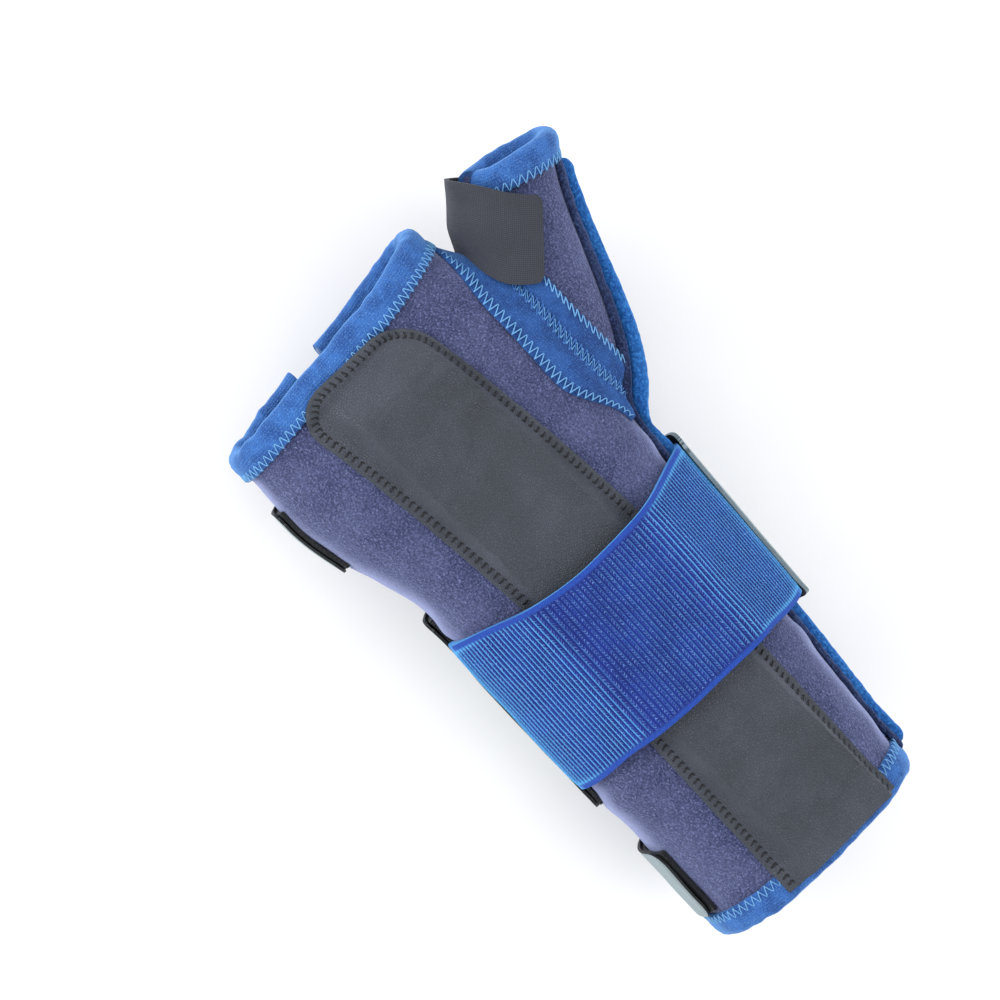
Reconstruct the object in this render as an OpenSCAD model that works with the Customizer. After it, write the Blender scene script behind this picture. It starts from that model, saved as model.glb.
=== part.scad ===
// Wrist and thumb splint for a right hand, worn closed, palm side up.
// Origin: middle of the wrist. +X runs to the fingers, +Y to the little finger, +Z out of the palm.

/* [Forearm and hand] */
// Wrist to the forearm hem
forearm_len = 112; // [104:1:120]
// Wrist to the middle of the palm edge
palm_len = 90; // [86:1:96]
// Half width on the little-finger side, forearm
ulnar_forearm = 38; // [36:0.5:41]
// Half width on the little-finger side, palm
ulnar_palm = 49.5; // [47:0.5:53]
// Half width on the thumb side, at the hem
radial_hem = 33.5; // [32:0.5:36]
// Half width on the thumb side, at the wrist
radial_wrist = 42; // [41:0.5:44]
// Height of the palm side over the middle plane
palmar_height = 26; // [25:0.5:28]
// Depth of the back of the hand side, at the hem
dorsal_hem = 26; // [25:0.5:28]
// Thickness of the laminated panels
panel_t = 3; // [2.5:0.1:3.2]

/* [Thumb] */
// Outer radius of the thumb sheath at its rim
thumb_r = 13.4; // [13:0.1:14.5]
// Rim centre, distance along the arm
thumb_x = 93.5; // [92:0.5:95]
// Rim centre, distance to the thumb side
thumb_y = 66; // [65:0.5:67]
// Angle between the thumb and the arm
thumb_angle = 35; // [33:0.5:37]

/* [Straps] */
// Width of the elastic wrist strap
strap_w = 56; // [50:1:60]
// Middle of the wrist strap along the arm
strap_x = -28; // [-32:1:-26]
// Thickness of the elastic webbing
strap_t = 1.8; // [1.5:0.1:2]
// Width of the thumb strap
thumb_strap_w = 24; // [22:1:25]
// Thickness of a hook tab's backing
tab_t = 0.9; // [0.7:0.1:1.1]

/* [Splint and stay] */
// Length of the aluminium splint
splint_len = 170; // [150:1:171]
// Width of the aluminium splint
splint_w = 29; // [26:0.5:29]
// Thickness of the aluminium splint
splint_t = 1.5; // [1.2:0.1:1.6]
// Length of the thumb stay
stay_len = 40; // [32:1:42]
// Width of the thumb stay
stay_w = 8; // [6:0.5:9]

/* [Hidden] */

squareness = 2.5;        // superellipse exponent of every limb section
web_x = 74;              // where the thumb and palm panels part at the thumb web
root_x = 10;             // where the thumb sheath starts, on the thumb-side seam
root_turn = 1.5;         // the web seam turns out of the thumb-side seam over this length
edge_slant = 6.5;        // the palm edge is nearer the wrist on the little-finger side
radial_palm = 50;        // half width on the thumb side, at the ball of the thumb
radial_knuckle = 31;     // half width on the thumb side, at the palm edge
palm_drop = 6;           // how far the palm edge falls below the palm
fold_y = -16;            // the dorsal panel folds open along this line
opening_flap_y = 8;      // free edge of the dorsal panel
opening_ulnar_y = 19;    // free edge of the palm panel on the back of the hand
gap = 0.3;               // air between two layers that touch
bind_t = 0.8;            // thickness of the binding tape
bind_leg = 6.4;          // width of binding tape seen on each face
hook_t = 1;              // thickness of a hook patch
piping_h = 4.2;          // how far the thumb-side piping stands out
fold_gap = 1.4;          // half the gap at the dorsal panel's fold
pocket_half = 21.4;      // half width of the splint pocket, stitches included
pocket_rise = 3.3;       // room under the pocket's cover
pocket_t = 1.2;          // thickness of the leather-like cover
splint_slope = 0.052;    // the splint runs this much towards the little finger

function clamp01(t) = max(0, min(1, t));
function smooth(t) = let (c = clamp01(t)) c * c * (3 - 2 * c);
function mix(a, b, t) = a + (b - a) * t;
function unit(v) = v / norm(v);
function signed_pow(v, p) = sign(v) * pow(abs(v), p);
function steps(a, b, n) = [for (i = [0:n]) mix(a, b, i / n)];

// ---------- the limb that every layer is laid on ----------
function ulnar_half(x) = mix(ulnar_forearm, ulnar_palm, smooth((x - 6) / 54));
function radial_half(x) =
    mix(radial_hem, radial_wrist, clamp01((x + forearm_len) / (forearm_len + root_x)))
    + (radial_palm - radial_wrist) * smooth((x - root_x + 4) / 36)
    - (radial_palm - radial_knuckle) * smooth((x - 60) / 34);
function palmar_half(x) = palmar_height - palm_drop * smooth((x - 56) / 42);
function dorsal_half(x) = dorsal_hem - 0.0425 * (x + forearm_len);
function half_y(x, a) = cos(a) > 0 ? ulnar_half(x) : radial_half(x);
function half_z(x, a) = sin(a) > 0 ? palmar_half(x) : dorsal_half(x);

// Angle a is 0 on the little-finger side, 90 at the palm, 180 at the thumb side, negative at the back.
function limb(x, a, lift = 0) =
    let (c = cos(a), s = sin(a), p = 2 / squareness,
         n = unit([0, signed_pow(c, 2 - p) / half_y(x, a), signed_pow(s, 2 - p) / half_z(x, a)]))
    [x, half_y(x, a) * signed_pow(c, p), half_z(x, a) * signed_pow(s, p)] + lift * n;
function limb_normal(x, a) = limb(x, a, 1) - limb(x, a);
function limb_along(x, a) = unit(limb(x, a + 0.5) - limb(x, a - 0.5));
function palmar_angle(x, y) =
    acos(signed_pow(max(-1, min(1, y / half_y(x, y > 0 ? 0 : 180))), squareness / 2));
function palm_z(x, y) = limb(x, palmar_angle(x, y)).z;

// The palm edge is slanted, and every panel's rows lean with it.
function palm_edge_x(a) = palm_len - edge_slant * cos(a);
function slanted(x, a) = mix(-forearm_len, palm_edge_x(a), (x + forearm_len) / (palm_len + forearm_len));
function skin(x, a, lift = 0) = limb(slanted(x, a), a, lift);
function skin_normal(x, a) = limb_normal(slanted(x, a), a);
function skin_along(x, a) = limb_along(slanted(x, a), a);
// Angle of the point of the skin at this y, on the palm side; its negative is the one on the back.
function palm_angle(x, y) = palmar_angle(slanted(x, palmar_angle(x, y)), y);
function back_angle(x, y) = 360 - palmar_angle(slanted(x, -palmar_angle(x, y)), y);
// Angle of the point at this height on the little-finger side.
function ulnar_angle(x, z) = asin(signed_pow(z / half_z(x, sign(z) * 90), squareness / 2));
function web_seam_y(x) = mix(-radial_half(root_x), -40, smooth((x - root_x) / 30));
// Where the palm panel ends on the thumb side: at the web seam, which leaves the thumb-side seam at the root,
// or at the hand's edge beyond the web.
function side_angle(x) =
    mix(180, palm_angle(x, web_seam_y(x)), smooth((x - root_x) / root_turn) * (1 - smooth((x - web_x) / 6)));

// ---------- the thumb sheath, from the web seam to its rim ----------
thumb_centre = [thumb_x, -thumb_y, 6];
thumb_lift = 8;
thumb_dir = [cos(thumb_lift) * cos(thumb_angle), -cos(thumb_lift) * sin(thumb_angle), sin(thumb_lift)];
thumb_web = unit([sin(thumb_angle), cos(thumb_angle), 0]);
thumb_palmar = cross(thumb_dir, thumb_web);
rim_slant = 5.4;

// v is 0 at the palm side of the web, 0.5 at the thumb-side seam and 1 at the back of the web.
function thumb_base(v) =
    let (back = v > 0.5, t = back ? 2 * (1 - v) : 2 * v, x = mix(web_x, root_x, pow(t, 1.35)),
         a = side_angle(x))
    skin(x, back ? -a : a);
function thumb_rim(v) =
    let (w = mix(18, 342, v))
    thumb_centre + thumb_r * (cos(w) * thumb_web + sin(w) * thumb_palmar) - rim_slant * cos(w) * thumb_dir;
function thumb_point(u, v) =
    let (p = thumb_base(v), q = thumb_rim(v), reach = norm(q - p),
         out = unit(thumb_dir + 0.55 * [0, -1, 0] * pow(sin(180 * v), 0.7)),
         m0 = out * reach * 0.8, m1 = thumb_dir * reach * 1.0,
         u2 = u * u, u3 = u2 * u)
    (2 * u3 - 3 * u2 + 1) * p + (u3 - 2 * u2 + u) * m0 + (3 * u2 - 2 * u3) * q + (u3 - u2) * m1;
function thumb_normal(u, v) =
    let (e = 0.01, du = thumb_point(min(1, u + e), v) - thumb_point(max(0, u - e), v),
         dv = thumb_point(u, min(1, v + e)) - thumb_point(u, max(0, v - e)))
    unit(cross(dv, du));
function thumb_skin(u, v, lift = 0) = thumb_point(u, v) + lift * thumb_normal(u, v);

// ---------- solids from grids of points ----------
// A sheet between two grids of points of the same size, closed round its border.
module sheet(top, under, flip = false) {
    rows = len(top);
    cols = len(top[0]);
    n = rows * cols;
    ring = concat(
        [for (j = [0:cols - 1]) j], [for (i = [1:rows - 1]) i * cols + cols - 1],
        [for (j = [cols - 2:-1:0]) (rows - 1) * cols + j], [for (i = [rows - 2:-1:1]) i * cols]);
    function skin(base, turn) = [for (i = [0:rows - 2], j = [0:cols - 2])
        let (a = base + i * cols + j, b = a + 1, c = b + cols, d = a + cols)
        each turn ? [[a, b, c], [a, c, d]] : [[a, c, b], [a, d, c]]];
    function rim(turn) = [for (k = [0:len(ring) - 1])
        let (a = ring[k], b = ring[(k + 1) % len(ring)])
        each turn ? [[b, a, n + a], [b, n + a, n + b]] : [[a, b, n + b], [a, n + b, n + a]]];
    polyhedron(points = [for (row = top) each row, for (row = under) each row],
               faces = concat(skin(0, flip), skin(n, !flip), rim(flip)));
}

// A panel of the limb: rows at each x, columns between two angles that depend on x.
module limb_panel(xs, from, to, cols) {
    function row(x, lift) = [for (a = steps(from(x), to(x), cols)) skin(x, a, lift)];
    color("slateblue") sheet([for (x = xs) row(x, 0)], [for (x = xs) row(x, -panel_t)]);
}

// Binding folded round a panel's edge. Each frame is [edge, middle of the leg, end of the leg, way out],
// where the first three are [point, normal] on the panel's outer face.
module binding(frames, flip = false) {
    o = gap + bind_t;
    function under(f, i, lift) = f[i][0] - (panel_t + lift) * f[i][1];
    function over(f, i, lift) = f[i][0] + lift * f[i][1];
    sheet([for (f = frames) [over(f, 2, o), over(f, 1, o), over(f, 0, o) + o * f[3],
                             under(f, 0, o) + o * f[3], under(f, 1, o), under(f, 2, o)]],
          [for (f = frames) [over(f, 2, gap), over(f, 1, gap), over(f, 0, gap) + gap * f[3],
                             under(f, 0, gap) + gap * f[3], under(f, 1, gap), under(f, 2, gap)]], flip);
}

// Turns a drawing of the limb's cross-section into a solid from x0 to x1.
module along_arm(x0, x1) {
    translate([x0, 0, 0]) rotate([90, 0, 90]) linear_extrude(x1 - x0) children();
}

module section(x, lift = 0) {
    polygon([for (a = [-176:4:180]) let (p = limb(x, a, lift)) [p.y, p.z]]);
}

// ---------- panels ----------
forearm_xs = steps(-forearm_len, 6, 7);
thumb_side_xs = concat(forearm_xs, [root_x, 11, 13, 17, 23, 31, 42, 54, 65, web_x, 76, 78, 80, 85,
                                    palm_len]);
dorsal_xs = concat(forearm_xs, steps(16, palm_len, 6));
palm_cols = 30;
gusset_cols = 5;
dorsal_cols = 6;
function palm_start(x) = back_angle(x, opening_ulnar_y) - 360;
function gusset_start(x) = 361 - side_angle(x);
function gusset_end(x) = back_angle(x, fold_y - fold_gap);
function dorsal_start(x) = back_angle(x, fold_y + fold_gap);
function dorsal_end(x) = back_angle(x, opening_flap_y);

module palm_panel() {
    limb_panel(thumb_side_xs, function (x) palm_start(x), function (x) side_angle(x), palm_cols);
}

module radial_gusset() {
    limb_panel(thumb_side_xs, function (x) gusset_start(x), function (x) gusset_end(x), gusset_cols);
}

module dorsal_panel() {
    limb_panel(dorsal_xs, function (x) dorsal_start(x), function (x) dorsal_end(x), dorsal_cols);
}

web_slit = 0.04;         // the sheath is open at the web, this far from the middle of it
// The panel's columns crowd towards the thumb-side seam, where the sheath curves most.
front_vs = [for (t = steps(0, 1, 16)) min(0.4994, 0.5 - (0.5 - web_slit) * pow(1 - t, 1.7))];
back_vs = [for (v = front_vs) 1 - v];

// Both thumb panels are pared thin where they meet at the seam.
function thumb_inner(u, v) = thumb_skin(u, v, -panel_t * mix(0.2, 1, smooth(abs(v - 0.5) / 0.07)));

module thumb_panel(vs, flip = false) {
    us = concat([0.03], steps(0.1, 1, 9));
    color("slateblue") sheet([for (u = us) [for (v = vs) thumb_skin(u, v)]],
                             [for (u = us) [for (v = vs) thumb_inner(u, v)]], flip);
}

// ---------- edge tapes ----------
// Binding along the palm edge (end = 1) or the forearm hem (end = -1), at the given angles.
module end_binding(end, angles) {
    x = end > 0 ? palm_len : -forearm_len;
    function on_skin(inset, a) = [skin(x - end * inset, a), skin_normal(x - end * inset, a)];
    color("royalblue") binding([for (a = angles) let (edge = on_skin(0, a), leg = on_skin(bind_leg, a))
        [edge, on_skin(bind_leg / 2, a), leg, unit(edge[0] - leg[0])]], flip = end > 0);
}

// Binding along a long edge on the back: side = 1 for an edge that faces the little finger.
module long_binding(y, side) {
    function on_skin(x, inset) = let (a = back_angle(x, y - side * inset)) [skin(x, a), skin_normal(x, a)];
    xs = [for (x = concat([-forearm_len + 8], dorsal_xs, [palm_len - 9])) if (abs(x + 11) < 93) x];
    color("royalblue") binding([for (x = xs) let (edge = on_skin(x, 0), leg = on_skin(x, bind_leg))
        [edge, on_skin(x, bind_leg / 2), leg, unit(edge[0] - leg[0])]], flip = side > 0);
}

// The binding runs over the palm panel and on over the gusset.
function brace_angles(x) = concat(
    [palm_start(x) + 1],
    [for (i = [1:palm_cols]) mix(palm_start(x), side_angle(x), i / palm_cols)],
    [for (i = [1:gusset_cols - 1]) mix(gusset_start(x), gusset_end(x), i / gusset_cols)],
    [gusset_end(x) - 1]);

module palm_edge_binding() {
    end_binding(1, brace_angles(palm_len));
}

module forearm_hem_binding() {
    end_binding(-1, brace_angles(-forearm_len));
}

module ulnar_edge_binding() {
    long_binding(opening_ulnar_y, -1);
}

module dorsal_edge_binding() {
    long_binding(opening_flap_y, 1);
}

module dorsal_end_bindings() {
    for (end = [-1, 1]) {
        x = end > 0 ? palm_len : -forearm_len;
        end_binding(end, steps(dorsal_start(x) + 1, dorsal_end(x), dorsal_cols));
    }
}

module thumb_rim_binding() {
    function on_skin(v, inset) =
        let (per_mm = 0.1 / norm(thumb_point(1, v) - thumb_point(0.9, v)), u = 1 - inset * per_mm)
        [thumb_point(u, v), thumb_normal(u, v)];
    vs = concat(front_vs, [for (i = [len(back_vs) - 1:-1:0]) back_vs[i]]);
    color("royalblue") binding([for (v = vs) let (edge = on_skin(v, 0), leg = on_skin(v, bind_leg))
        [edge, on_skin(v, bind_leg / 2), leg, unit(edge[0] - leg[0])]], flip = true);
}

// The two bound edges that are sewn together along the thumb web.
module palm_web_strip() {
    function row(x, lift) = [for (a = steps(side_angle(x) - 4.5, palm_angle(x, web_seam_y(x) + 8.5), 4))
        skin(x, a, lift)];
    xs = [18, 23, 31, 42, 54, 65, web_x - 5];
    color("royalblue") sheet([for (x = xs) row(x, 1.5 * gap)], [for (x = xs) row(x, gap + bind_t)]);
}

module thumb_web_strip() {
    function row(v, lift) = [for (u = [0.06, 0.1, 0.2]) thumb_skin(u, v, lift)];
    vs = [for (v = front_vs) if (v < 0.4) v];
    color("royalblue") sheet([for (v = vs) row(v, gap)], [for (v = vs) row(v, gap + bind_t)]);
}

// The thumb-side seam: along the forearm, then along the outside of the thumb.
seam_angle = 171;
seam_v = 0.47;
seam_xs = steps(-forearm_len + 8, 0, 8);
seam_us = steps(0.14, 0.9, 8);

// The sheath's v at a distance off round it from the seam.
function seam_v_at(u, off) =
    let (vs = steps(seam_v - 0.08, seam_v + 0.08, 40), ps = [for (v = vs) thumb_point(u, v)],
         far = [for (i = 0, s = 0; i < 41; s = s + (i < 40 ? norm(ps[i + 1] - ps[i]) : 0), i = i + 1) [s, vs[i]]])
    lookup(off + far[20][0], far);

// The seam's line moved sideways over the skin by off, and lifted.
function seam_line(off, lift) = concat(
    [for (x = seam_xs)
        let (per_degree = norm(limb(x, seam_angle + 0.5) - limb(x, seam_angle - 0.5)))
        limb(x, seam_angle + off / per_degree, lift)],
    [for (u = seam_us) thumb_skin(u, seam_v_at(u, off), lift)]);

// A strip on the skin between two distances from the seam line.
module seam_strip(from, to, height) {
    offs = steps(from, to, 3);
    sheet([for (off = offs) seam_line(off, 1.5 * gap)], [for (off = offs) seam_line(off, gap + height)]);
}

module radial_seam_tape() {
    color("midnightblue") seam_strip(-4.3, -1.2, 1.3);
}

module radial_edge_piping() {
    color("dodgerblue") seam_strip(0, 4.4, piping_h);
}

// ---------- splint pocket and splint ----------
pocket_x0 = -forearm_len + 2.5;
pocket_x1 = palm_len - 6;
pocket_corner = 12;
splint_x1 = 62;
function pocket_centre(x) = 12.5 * pow(max(0, x + 15) / 99, 1.4);
function pocket_reach(x) =
    let (past = max(0, x - pocket_x1 + pocket_corner))
    pocket_half - pocket_corner + sqrt(max(1, pow(pocket_corner, 2) - pow(past, 2)));
function pocket_swell(x, e) = (1 - smooth((e - 18) / 2.2)) * (1 - smooth((x - splint_x1 - 3) / 9));
// The pocket passes over the bindings at both ends.
function over_binding(x, y) = (bind_t + gap) * (1 - smooth((x + forearm_len - bind_leg - 0.5) / 3)
    + smooth((x - palm_edge_x(palmar_angle(x, y)) + bind_leg + 3.5) / 3));
function pocket_floor(x, y, e) = mix(palm_z(x, y) + 2 * gap + over_binding(x, y),
                                     max(palm_z(x, y), palmar_height) + pocket_rise, pocket_swell(x, e));

module splint_pocket() {
    rows = concat([pocket_x0, -105.5, -102.5], steps(-96, splint_x1 + 3, 7),
                  [68, 71, 74, 77, 79, 81, 82.5, pocket_x1 - 0.3]);
    cols = [-pocket_half, -20.2, -19.1, -18, 0, 18, 19.1, 20.2, pocket_half];
    function row(x, lift) = [for (e = cols)
        let (y = pocket_centre(x) + e * pocket_reach(x) / pocket_half)
        [x, y, pocket_floor(x, y, abs(e)) + lift]];
    color([0.3, 0.33, 0.36]) sheet([for (x = rows) row(x, 0)], [for (x = rows) row(x, pocket_t)]);
}

module palmar_splint() {
    corner = 8;
    color("silver") translate([splint_x1, -3 + splint_slope * (splint_x1 + 108), palmar_height + 1.45])
        rotate([0, 0, atan(splint_slope)]) linear_extrude(splint_t)
            for (x = [corner, splint_len - corner]) hull() {
                translate([-splint_len / 2, 0]) square([splint_len - 2 * corner, splint_w], center = true);
                for (y = [-1, 1]) translate([-x, y * (splint_w / 2 - corner)]) circle(corner, $fn = 32);
            }
}

// ---------- thumb stay, in a sleeve on the back of the thumb ----------
stay_v = 0.66;
stay_a = thumb_skin(0.98, stay_v, 3 * gap);
stay_b = thumb_skin(0.3, stay_v, 3 * gap);
stay_dir = unit(stay_a - stay_b);
stay_side = unit(cross(thumb_normal(0.7, stay_v), stay_dir));
stay_up = cross(stay_dir, stay_side);
sleeve_len = norm(stay_a - stay_b) - bind_leg;
sleeve_floor = 1.2;      // the stay has to slide out over the thumb's rim binding
sleeve_room = 1.3;
sleeve_wall = 0.7;

// Draws its children in the stay's frame: X along the stay, Z away from the thumb.
module on_stay() {
    d = stay_dir;
    s = stay_side;
    n = stay_up;
    b = stay_b;
    multmatrix([[d.x, s.x, n.x, b.x], [d.y, s.y, n.y, b.y], [d.z, s.z, n.z, b.z], [0, 0, 0, 1]])
        children();
}

module thumb_stay() {
    color("white") on_stay()
        translate([sleeve_wall + 0.2, -stay_w / 2, sleeve_floor + 0.15]) cube([stay_len, stay_w, 1]);
}

module thumb_stay_pocket() {
    side = stay_w / 2 + 0.3;
    color("darkslateblue") on_stay() difference() {
        translate([0, -side - sleeve_wall, 0])
            cube([sleeve_len, 2 * (side + sleeve_wall), sleeve_floor + sleeve_room + sleeve_wall]);
        translate([sleeve_wall, -side, sleeve_floor]) cube([sleeve_len, 2 * side, sleeve_room]);
    }
}

// ---------- hook tabs over the back of the hand ----------
// Each is [lowest x, highest x, z where it ends on the little-finger side].
hand_span = [44, 71, 3];
wrist_span = [-60, 17, -2.8];
forearm_span = [-104, -78, 9];
tab_hinge_y = 0.5;       // the tabs bend here, just before the dorsal panel's free edge
tab_base_y = -10;
hook_y = 26.4;
tab_low = 2 * gap + hook_t;

// A layer over a span of the skin, between two angles that depend on x.
module skin_layer(span, low, high, from, to, cols = 16) {
    function row(x, lift) = [for (a = steps(from(x), to(x), cols)) skin(x, a, lift)];
    xs = steps(span[0], span[1], 3);
    sheet([for (x = xs) row(x, high)], [for (x = xs) row(x, low)]);
}

module tab_backing(span) {
    color("darkgray") skin_layer(span, tab_low, tab_low + tab_t,
        function (x) back_angle(x, tab_hinge_y + 0.4) - 360, function (x) ulnar_angle(x, span[2]));
}

module tab_hook(span) {
    inset = 1.5;
    color([0.1, 0.11, 0.12]) skin_layer([span[0] + inset, span[1] - inset], gap, gap + hook_t,
        function (x) back_angle(x, hook_y) - 360, function (x) ulnar_angle(x, span[2] - inset));
}

module tab_sewn_bases() {
    for (span = [hand_span, wrist_span, forearm_span])
        color("darkgray") skin_layer(span, gap, tab_low + tab_t,
            function (x) back_angle(x, tab_base_y), function (x) back_angle(x, tab_hinge_y - 0.7), 4);
}

// ---------- wrist strap ----------
strap_x0 = strap_x - strap_w / 2;
strap_x1 = strap_x + strap_w / 2;
strap_start_z = -1;
strap_hinge_z = 8.2;     // the strap's end peels away below this
strap_tab_z = 5;
strap_tab_end_y = -20;
strap_tab_over = 3;      // the hook tab is this much wider than the webbing on each side
pocket_top = palmar_height + pocket_rise + pocket_t;

// What the strap is pulled tight over: the limb, the splint pocket and the thumb-side piping.
module strap_core(lift) {
    offset(r = lift, $fn = 32) hull() {
        for (x = [strap_x0, strap_x1]) section(x, gap);
        for (y = [-20, 20]) translate([y, pocket_top]) circle(0.1, $fn = 12);
        for (z = [0.8, 5.8]) translate([-radial_half(strap_x1) - piping_h, z]) circle(0.1, $fn = 12);
    }
}

module strap_band(x0, x1, low, high, box) {
    along_arm(x0, x1) intersection() {
        difference() {
            strap_core(high);
            strap_core(low);
        }
        translate([box[0], box[1]]) square([box[2] - box[0], box[3] - box[1]]);
    }
}

module webbing(box) {
    color("blue") strap_band(strap_x0, strap_x1, 2 * gap, 2 * gap + strap_t, box);
}

module wrist_strap() {
    webbing([-80, strap_hinge_z + 0.4, 0, 60]);
    webbing([0, strap_start_z, 80, 60]);
}

module wrist_strap_end() {
    webbing([-80, strap_start_z, 0, strap_hinge_z - 0.4]);
}

// The strap's sewn end, flat against the palm panel below the hinge line.
module wrist_strap_anchor() {
    zs = [strap_start_z - 1.5, strap_start_z - 0.3];
    function row(x, lift) = [for (z = zs) limb(x, ulnar_angle(x, z), lift)];
    xs = steps(strap_x0, strap_x1, 3);
    color("blue") sheet([for (x = xs) row(x, gap + strap_t)], [for (x = xs) row(x, gap)]);
}

module wrist_strap_tab() {
    low = 3 * gap + strap_t;
    color("darkgray") strap_band(strap_x0 - strap_tab_over, strap_x1 + strap_tab_over, low, low + tab_t + 0.2,
                                 [-80, -60, strap_tab_end_y, strap_tab_z]);
}

module wrist_strap_hook() {
    color([0.1, 0.11, 0.12])
        strap_band(strap_x0, strap_x1, 2 * gap, 2 * gap + strap_t, [-40, -60, strap_tab_end_y - 1, -12]);
}

// ---------- thumb strap ----------
// The strap runs round the thumb on a slant, so its ring has its own axis.
strap_skew = 5;
ring_dir = unit([cos(thumb_angle + strap_skew), -sin(thumb_angle + strap_skew), thumb_dir.z]);
ring_web = unit([sin(thumb_angle + strap_skew), cos(thumb_angle + strap_skew), 0]);
ring_palmar = cross(ring_dir, ring_web);
ring_centre = thumb_centre - 15 * thumb_dir - 2 * ring_web + ring_palmar;
ring_half_w = 17.8;      // inner half width, across the thumb
ring_half_d = 16.8;      // inner half depth, from the back to the palm side
ring_free_end = 112;     // angle of the strap's free end; 0 is the web side, 90 the palm side
ring_hinge = 57.5;       // the free end peels away from here
ring_fixed_end = -88;
thumb_strap_t = 1.3;

// Draws its children round the thumb: the drawing's X runs to the web, its Y to the palm side.
module round_thumb(inset = 0) {
    w = ring_web;
    p = ring_palmar;
    d = ring_dir;
    o = ring_centre - (thumb_strap_w / 2 - inset) * d;
    multmatrix([[w.x, p.x, d.x, o.x], [w.y, p.y, d.y, o.y], [w.z, p.z, d.z, o.z], [0, 0, 0, 1]])
        linear_extrude(thumb_strap_w - 2 * inset) children();
}

module thumb_ring_band(low, high, a0, a1) {
    function arc_point(a, lift) = let (p = 2 / squareness)
        [(ring_half_w + lift) * signed_pow(cos(a), p), (ring_half_d + lift) * signed_pow(sin(a), p)];
    polygon([for (a = steps(a0, a1, 24)) arc_point(a, high), for (a = steps(a1, a0, 24)) arc_point(a, low)]);
}

module thumb_strap() {
    color([0.25, 0.27, 0.29]) round_thumb()
        thumb_ring_band(tab_low, tab_low + thumb_strap_t, ring_hinge + 1.5, ring_free_end);
}

module thumb_strap_hook() {
    color([0.1, 0.11, 0.12]) round_thumb(1.5)
        thumb_ring_band(gap, gap + hook_t, ring_hinge + 6, ring_free_end - 4);
}

module thumb_strap_anchor() {
    color([0.25, 0.27, 0.29]) round_thumb()
        thumb_ring_band(tab_low, tab_low + thumb_strap_t, ring_fixed_end, ring_hinge - 1.5);
}

palm_panel();
thumb_panel(front_vs);  // thumb_front_panel
thumb_panel(back_vs, true);  // thumb_back_panel
radial_gusset();
dorsal_panel();
palm_edge_binding();
forearm_hem_binding();
ulnar_edge_binding();
dorsal_edge_binding();
dorsal_end_bindings();
thumb_rim_binding();
palm_web_strip();
thumb_web_strip();
radial_seam_tape();
radial_edge_piping();
splint_pocket();
palmar_splint();
thumb_stay_pocket();
thumb_stay();
tab_sewn_bases();
tab_backing(hand_span);  // hand_tab
tab_hook(hand_span);  // hand_tab_hook
tab_backing(wrist_span);  // wrist_tab
tab_hook(wrist_span);  // wrist_tab_hook
tab_backing(forearm_span);  // forearm_tab
tab_hook(forearm_span);  // forearm_tab_hook
thumb_strap();
thumb_strap_anchor();
thumb_strap_hook();
wrist_strap();
wrist_strap_end();
wrist_strap_anchor();
wrist_strap_tab();
wrist_strap_hook();
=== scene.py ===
"""Wrist splint: fabric, tapes, stitching and straps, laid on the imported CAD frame.

Lengths are millimetres until a mesh is made, and metres after that. The limb's surface is the law the CAD
layers are built on, so each layer here takes its place from it.
"""

import math

import bmesh
import bpy
import numpy as np
from mathutils import Matrix, Vector
from mathutils.geometry import convex_hull_2d


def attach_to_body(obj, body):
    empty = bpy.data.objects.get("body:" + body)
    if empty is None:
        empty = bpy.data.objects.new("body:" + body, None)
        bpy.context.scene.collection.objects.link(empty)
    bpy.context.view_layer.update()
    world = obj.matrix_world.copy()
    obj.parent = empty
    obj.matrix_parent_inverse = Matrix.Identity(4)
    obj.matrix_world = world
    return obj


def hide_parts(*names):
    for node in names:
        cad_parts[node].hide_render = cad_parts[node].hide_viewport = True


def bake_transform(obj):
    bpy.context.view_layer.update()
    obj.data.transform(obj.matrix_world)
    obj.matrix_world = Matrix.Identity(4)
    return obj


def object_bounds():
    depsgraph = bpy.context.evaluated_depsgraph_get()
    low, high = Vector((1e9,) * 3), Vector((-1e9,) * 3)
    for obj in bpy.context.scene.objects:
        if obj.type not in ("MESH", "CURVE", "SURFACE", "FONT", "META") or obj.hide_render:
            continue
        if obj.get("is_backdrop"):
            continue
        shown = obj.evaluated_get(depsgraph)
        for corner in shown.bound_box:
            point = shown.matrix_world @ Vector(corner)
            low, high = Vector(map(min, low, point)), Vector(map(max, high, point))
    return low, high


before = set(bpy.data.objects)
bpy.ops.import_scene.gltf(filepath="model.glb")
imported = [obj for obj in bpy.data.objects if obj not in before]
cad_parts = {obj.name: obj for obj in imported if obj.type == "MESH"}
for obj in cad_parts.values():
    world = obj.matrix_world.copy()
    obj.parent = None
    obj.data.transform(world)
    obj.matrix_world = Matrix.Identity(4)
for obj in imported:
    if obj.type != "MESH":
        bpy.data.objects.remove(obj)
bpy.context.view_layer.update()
MM = 0.001


# ---------------- the limb's surface
FOREARM, PALM, ROOT, ROOT_TURN = -112.0, 90.0, 10.0, 1.5
PANEL = 3.0
BINDING_LEG = 6.4
POWER = 2 / 2.5
WEB_X = 74.0
OPENING_ULNAR_Y, OPENING_FLAP_Y = 19.0, 8.0


def clamp01(t):
    return np.clip(t, 0.0, 1.0)


def smooth(t):
    t = clamp01(t)
    return t * t * (3 - 2 * t)


def mix(a, b, t):
    return a + (b - a) * t


def unit(v):
    return v / np.maximum(np.linalg.norm(v, axis=-1, keepdims=True), 1e-9)


def signed_pow(v, p):
    return np.sign(v) * np.abs(v) ** p


def hermite(p, q, slope_p, slope_q, t):
    """Smooth curve from p to q that leaves and arrives with the given slopes."""
    return ((2 * t**3 - 3 * t**2 + 1) * p + (t**3 - 2 * t**2 + t) * slope_p
            + (3 * t**2 - 2 * t**3) * q + (t**3 - t**2) * slope_q)


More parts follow.
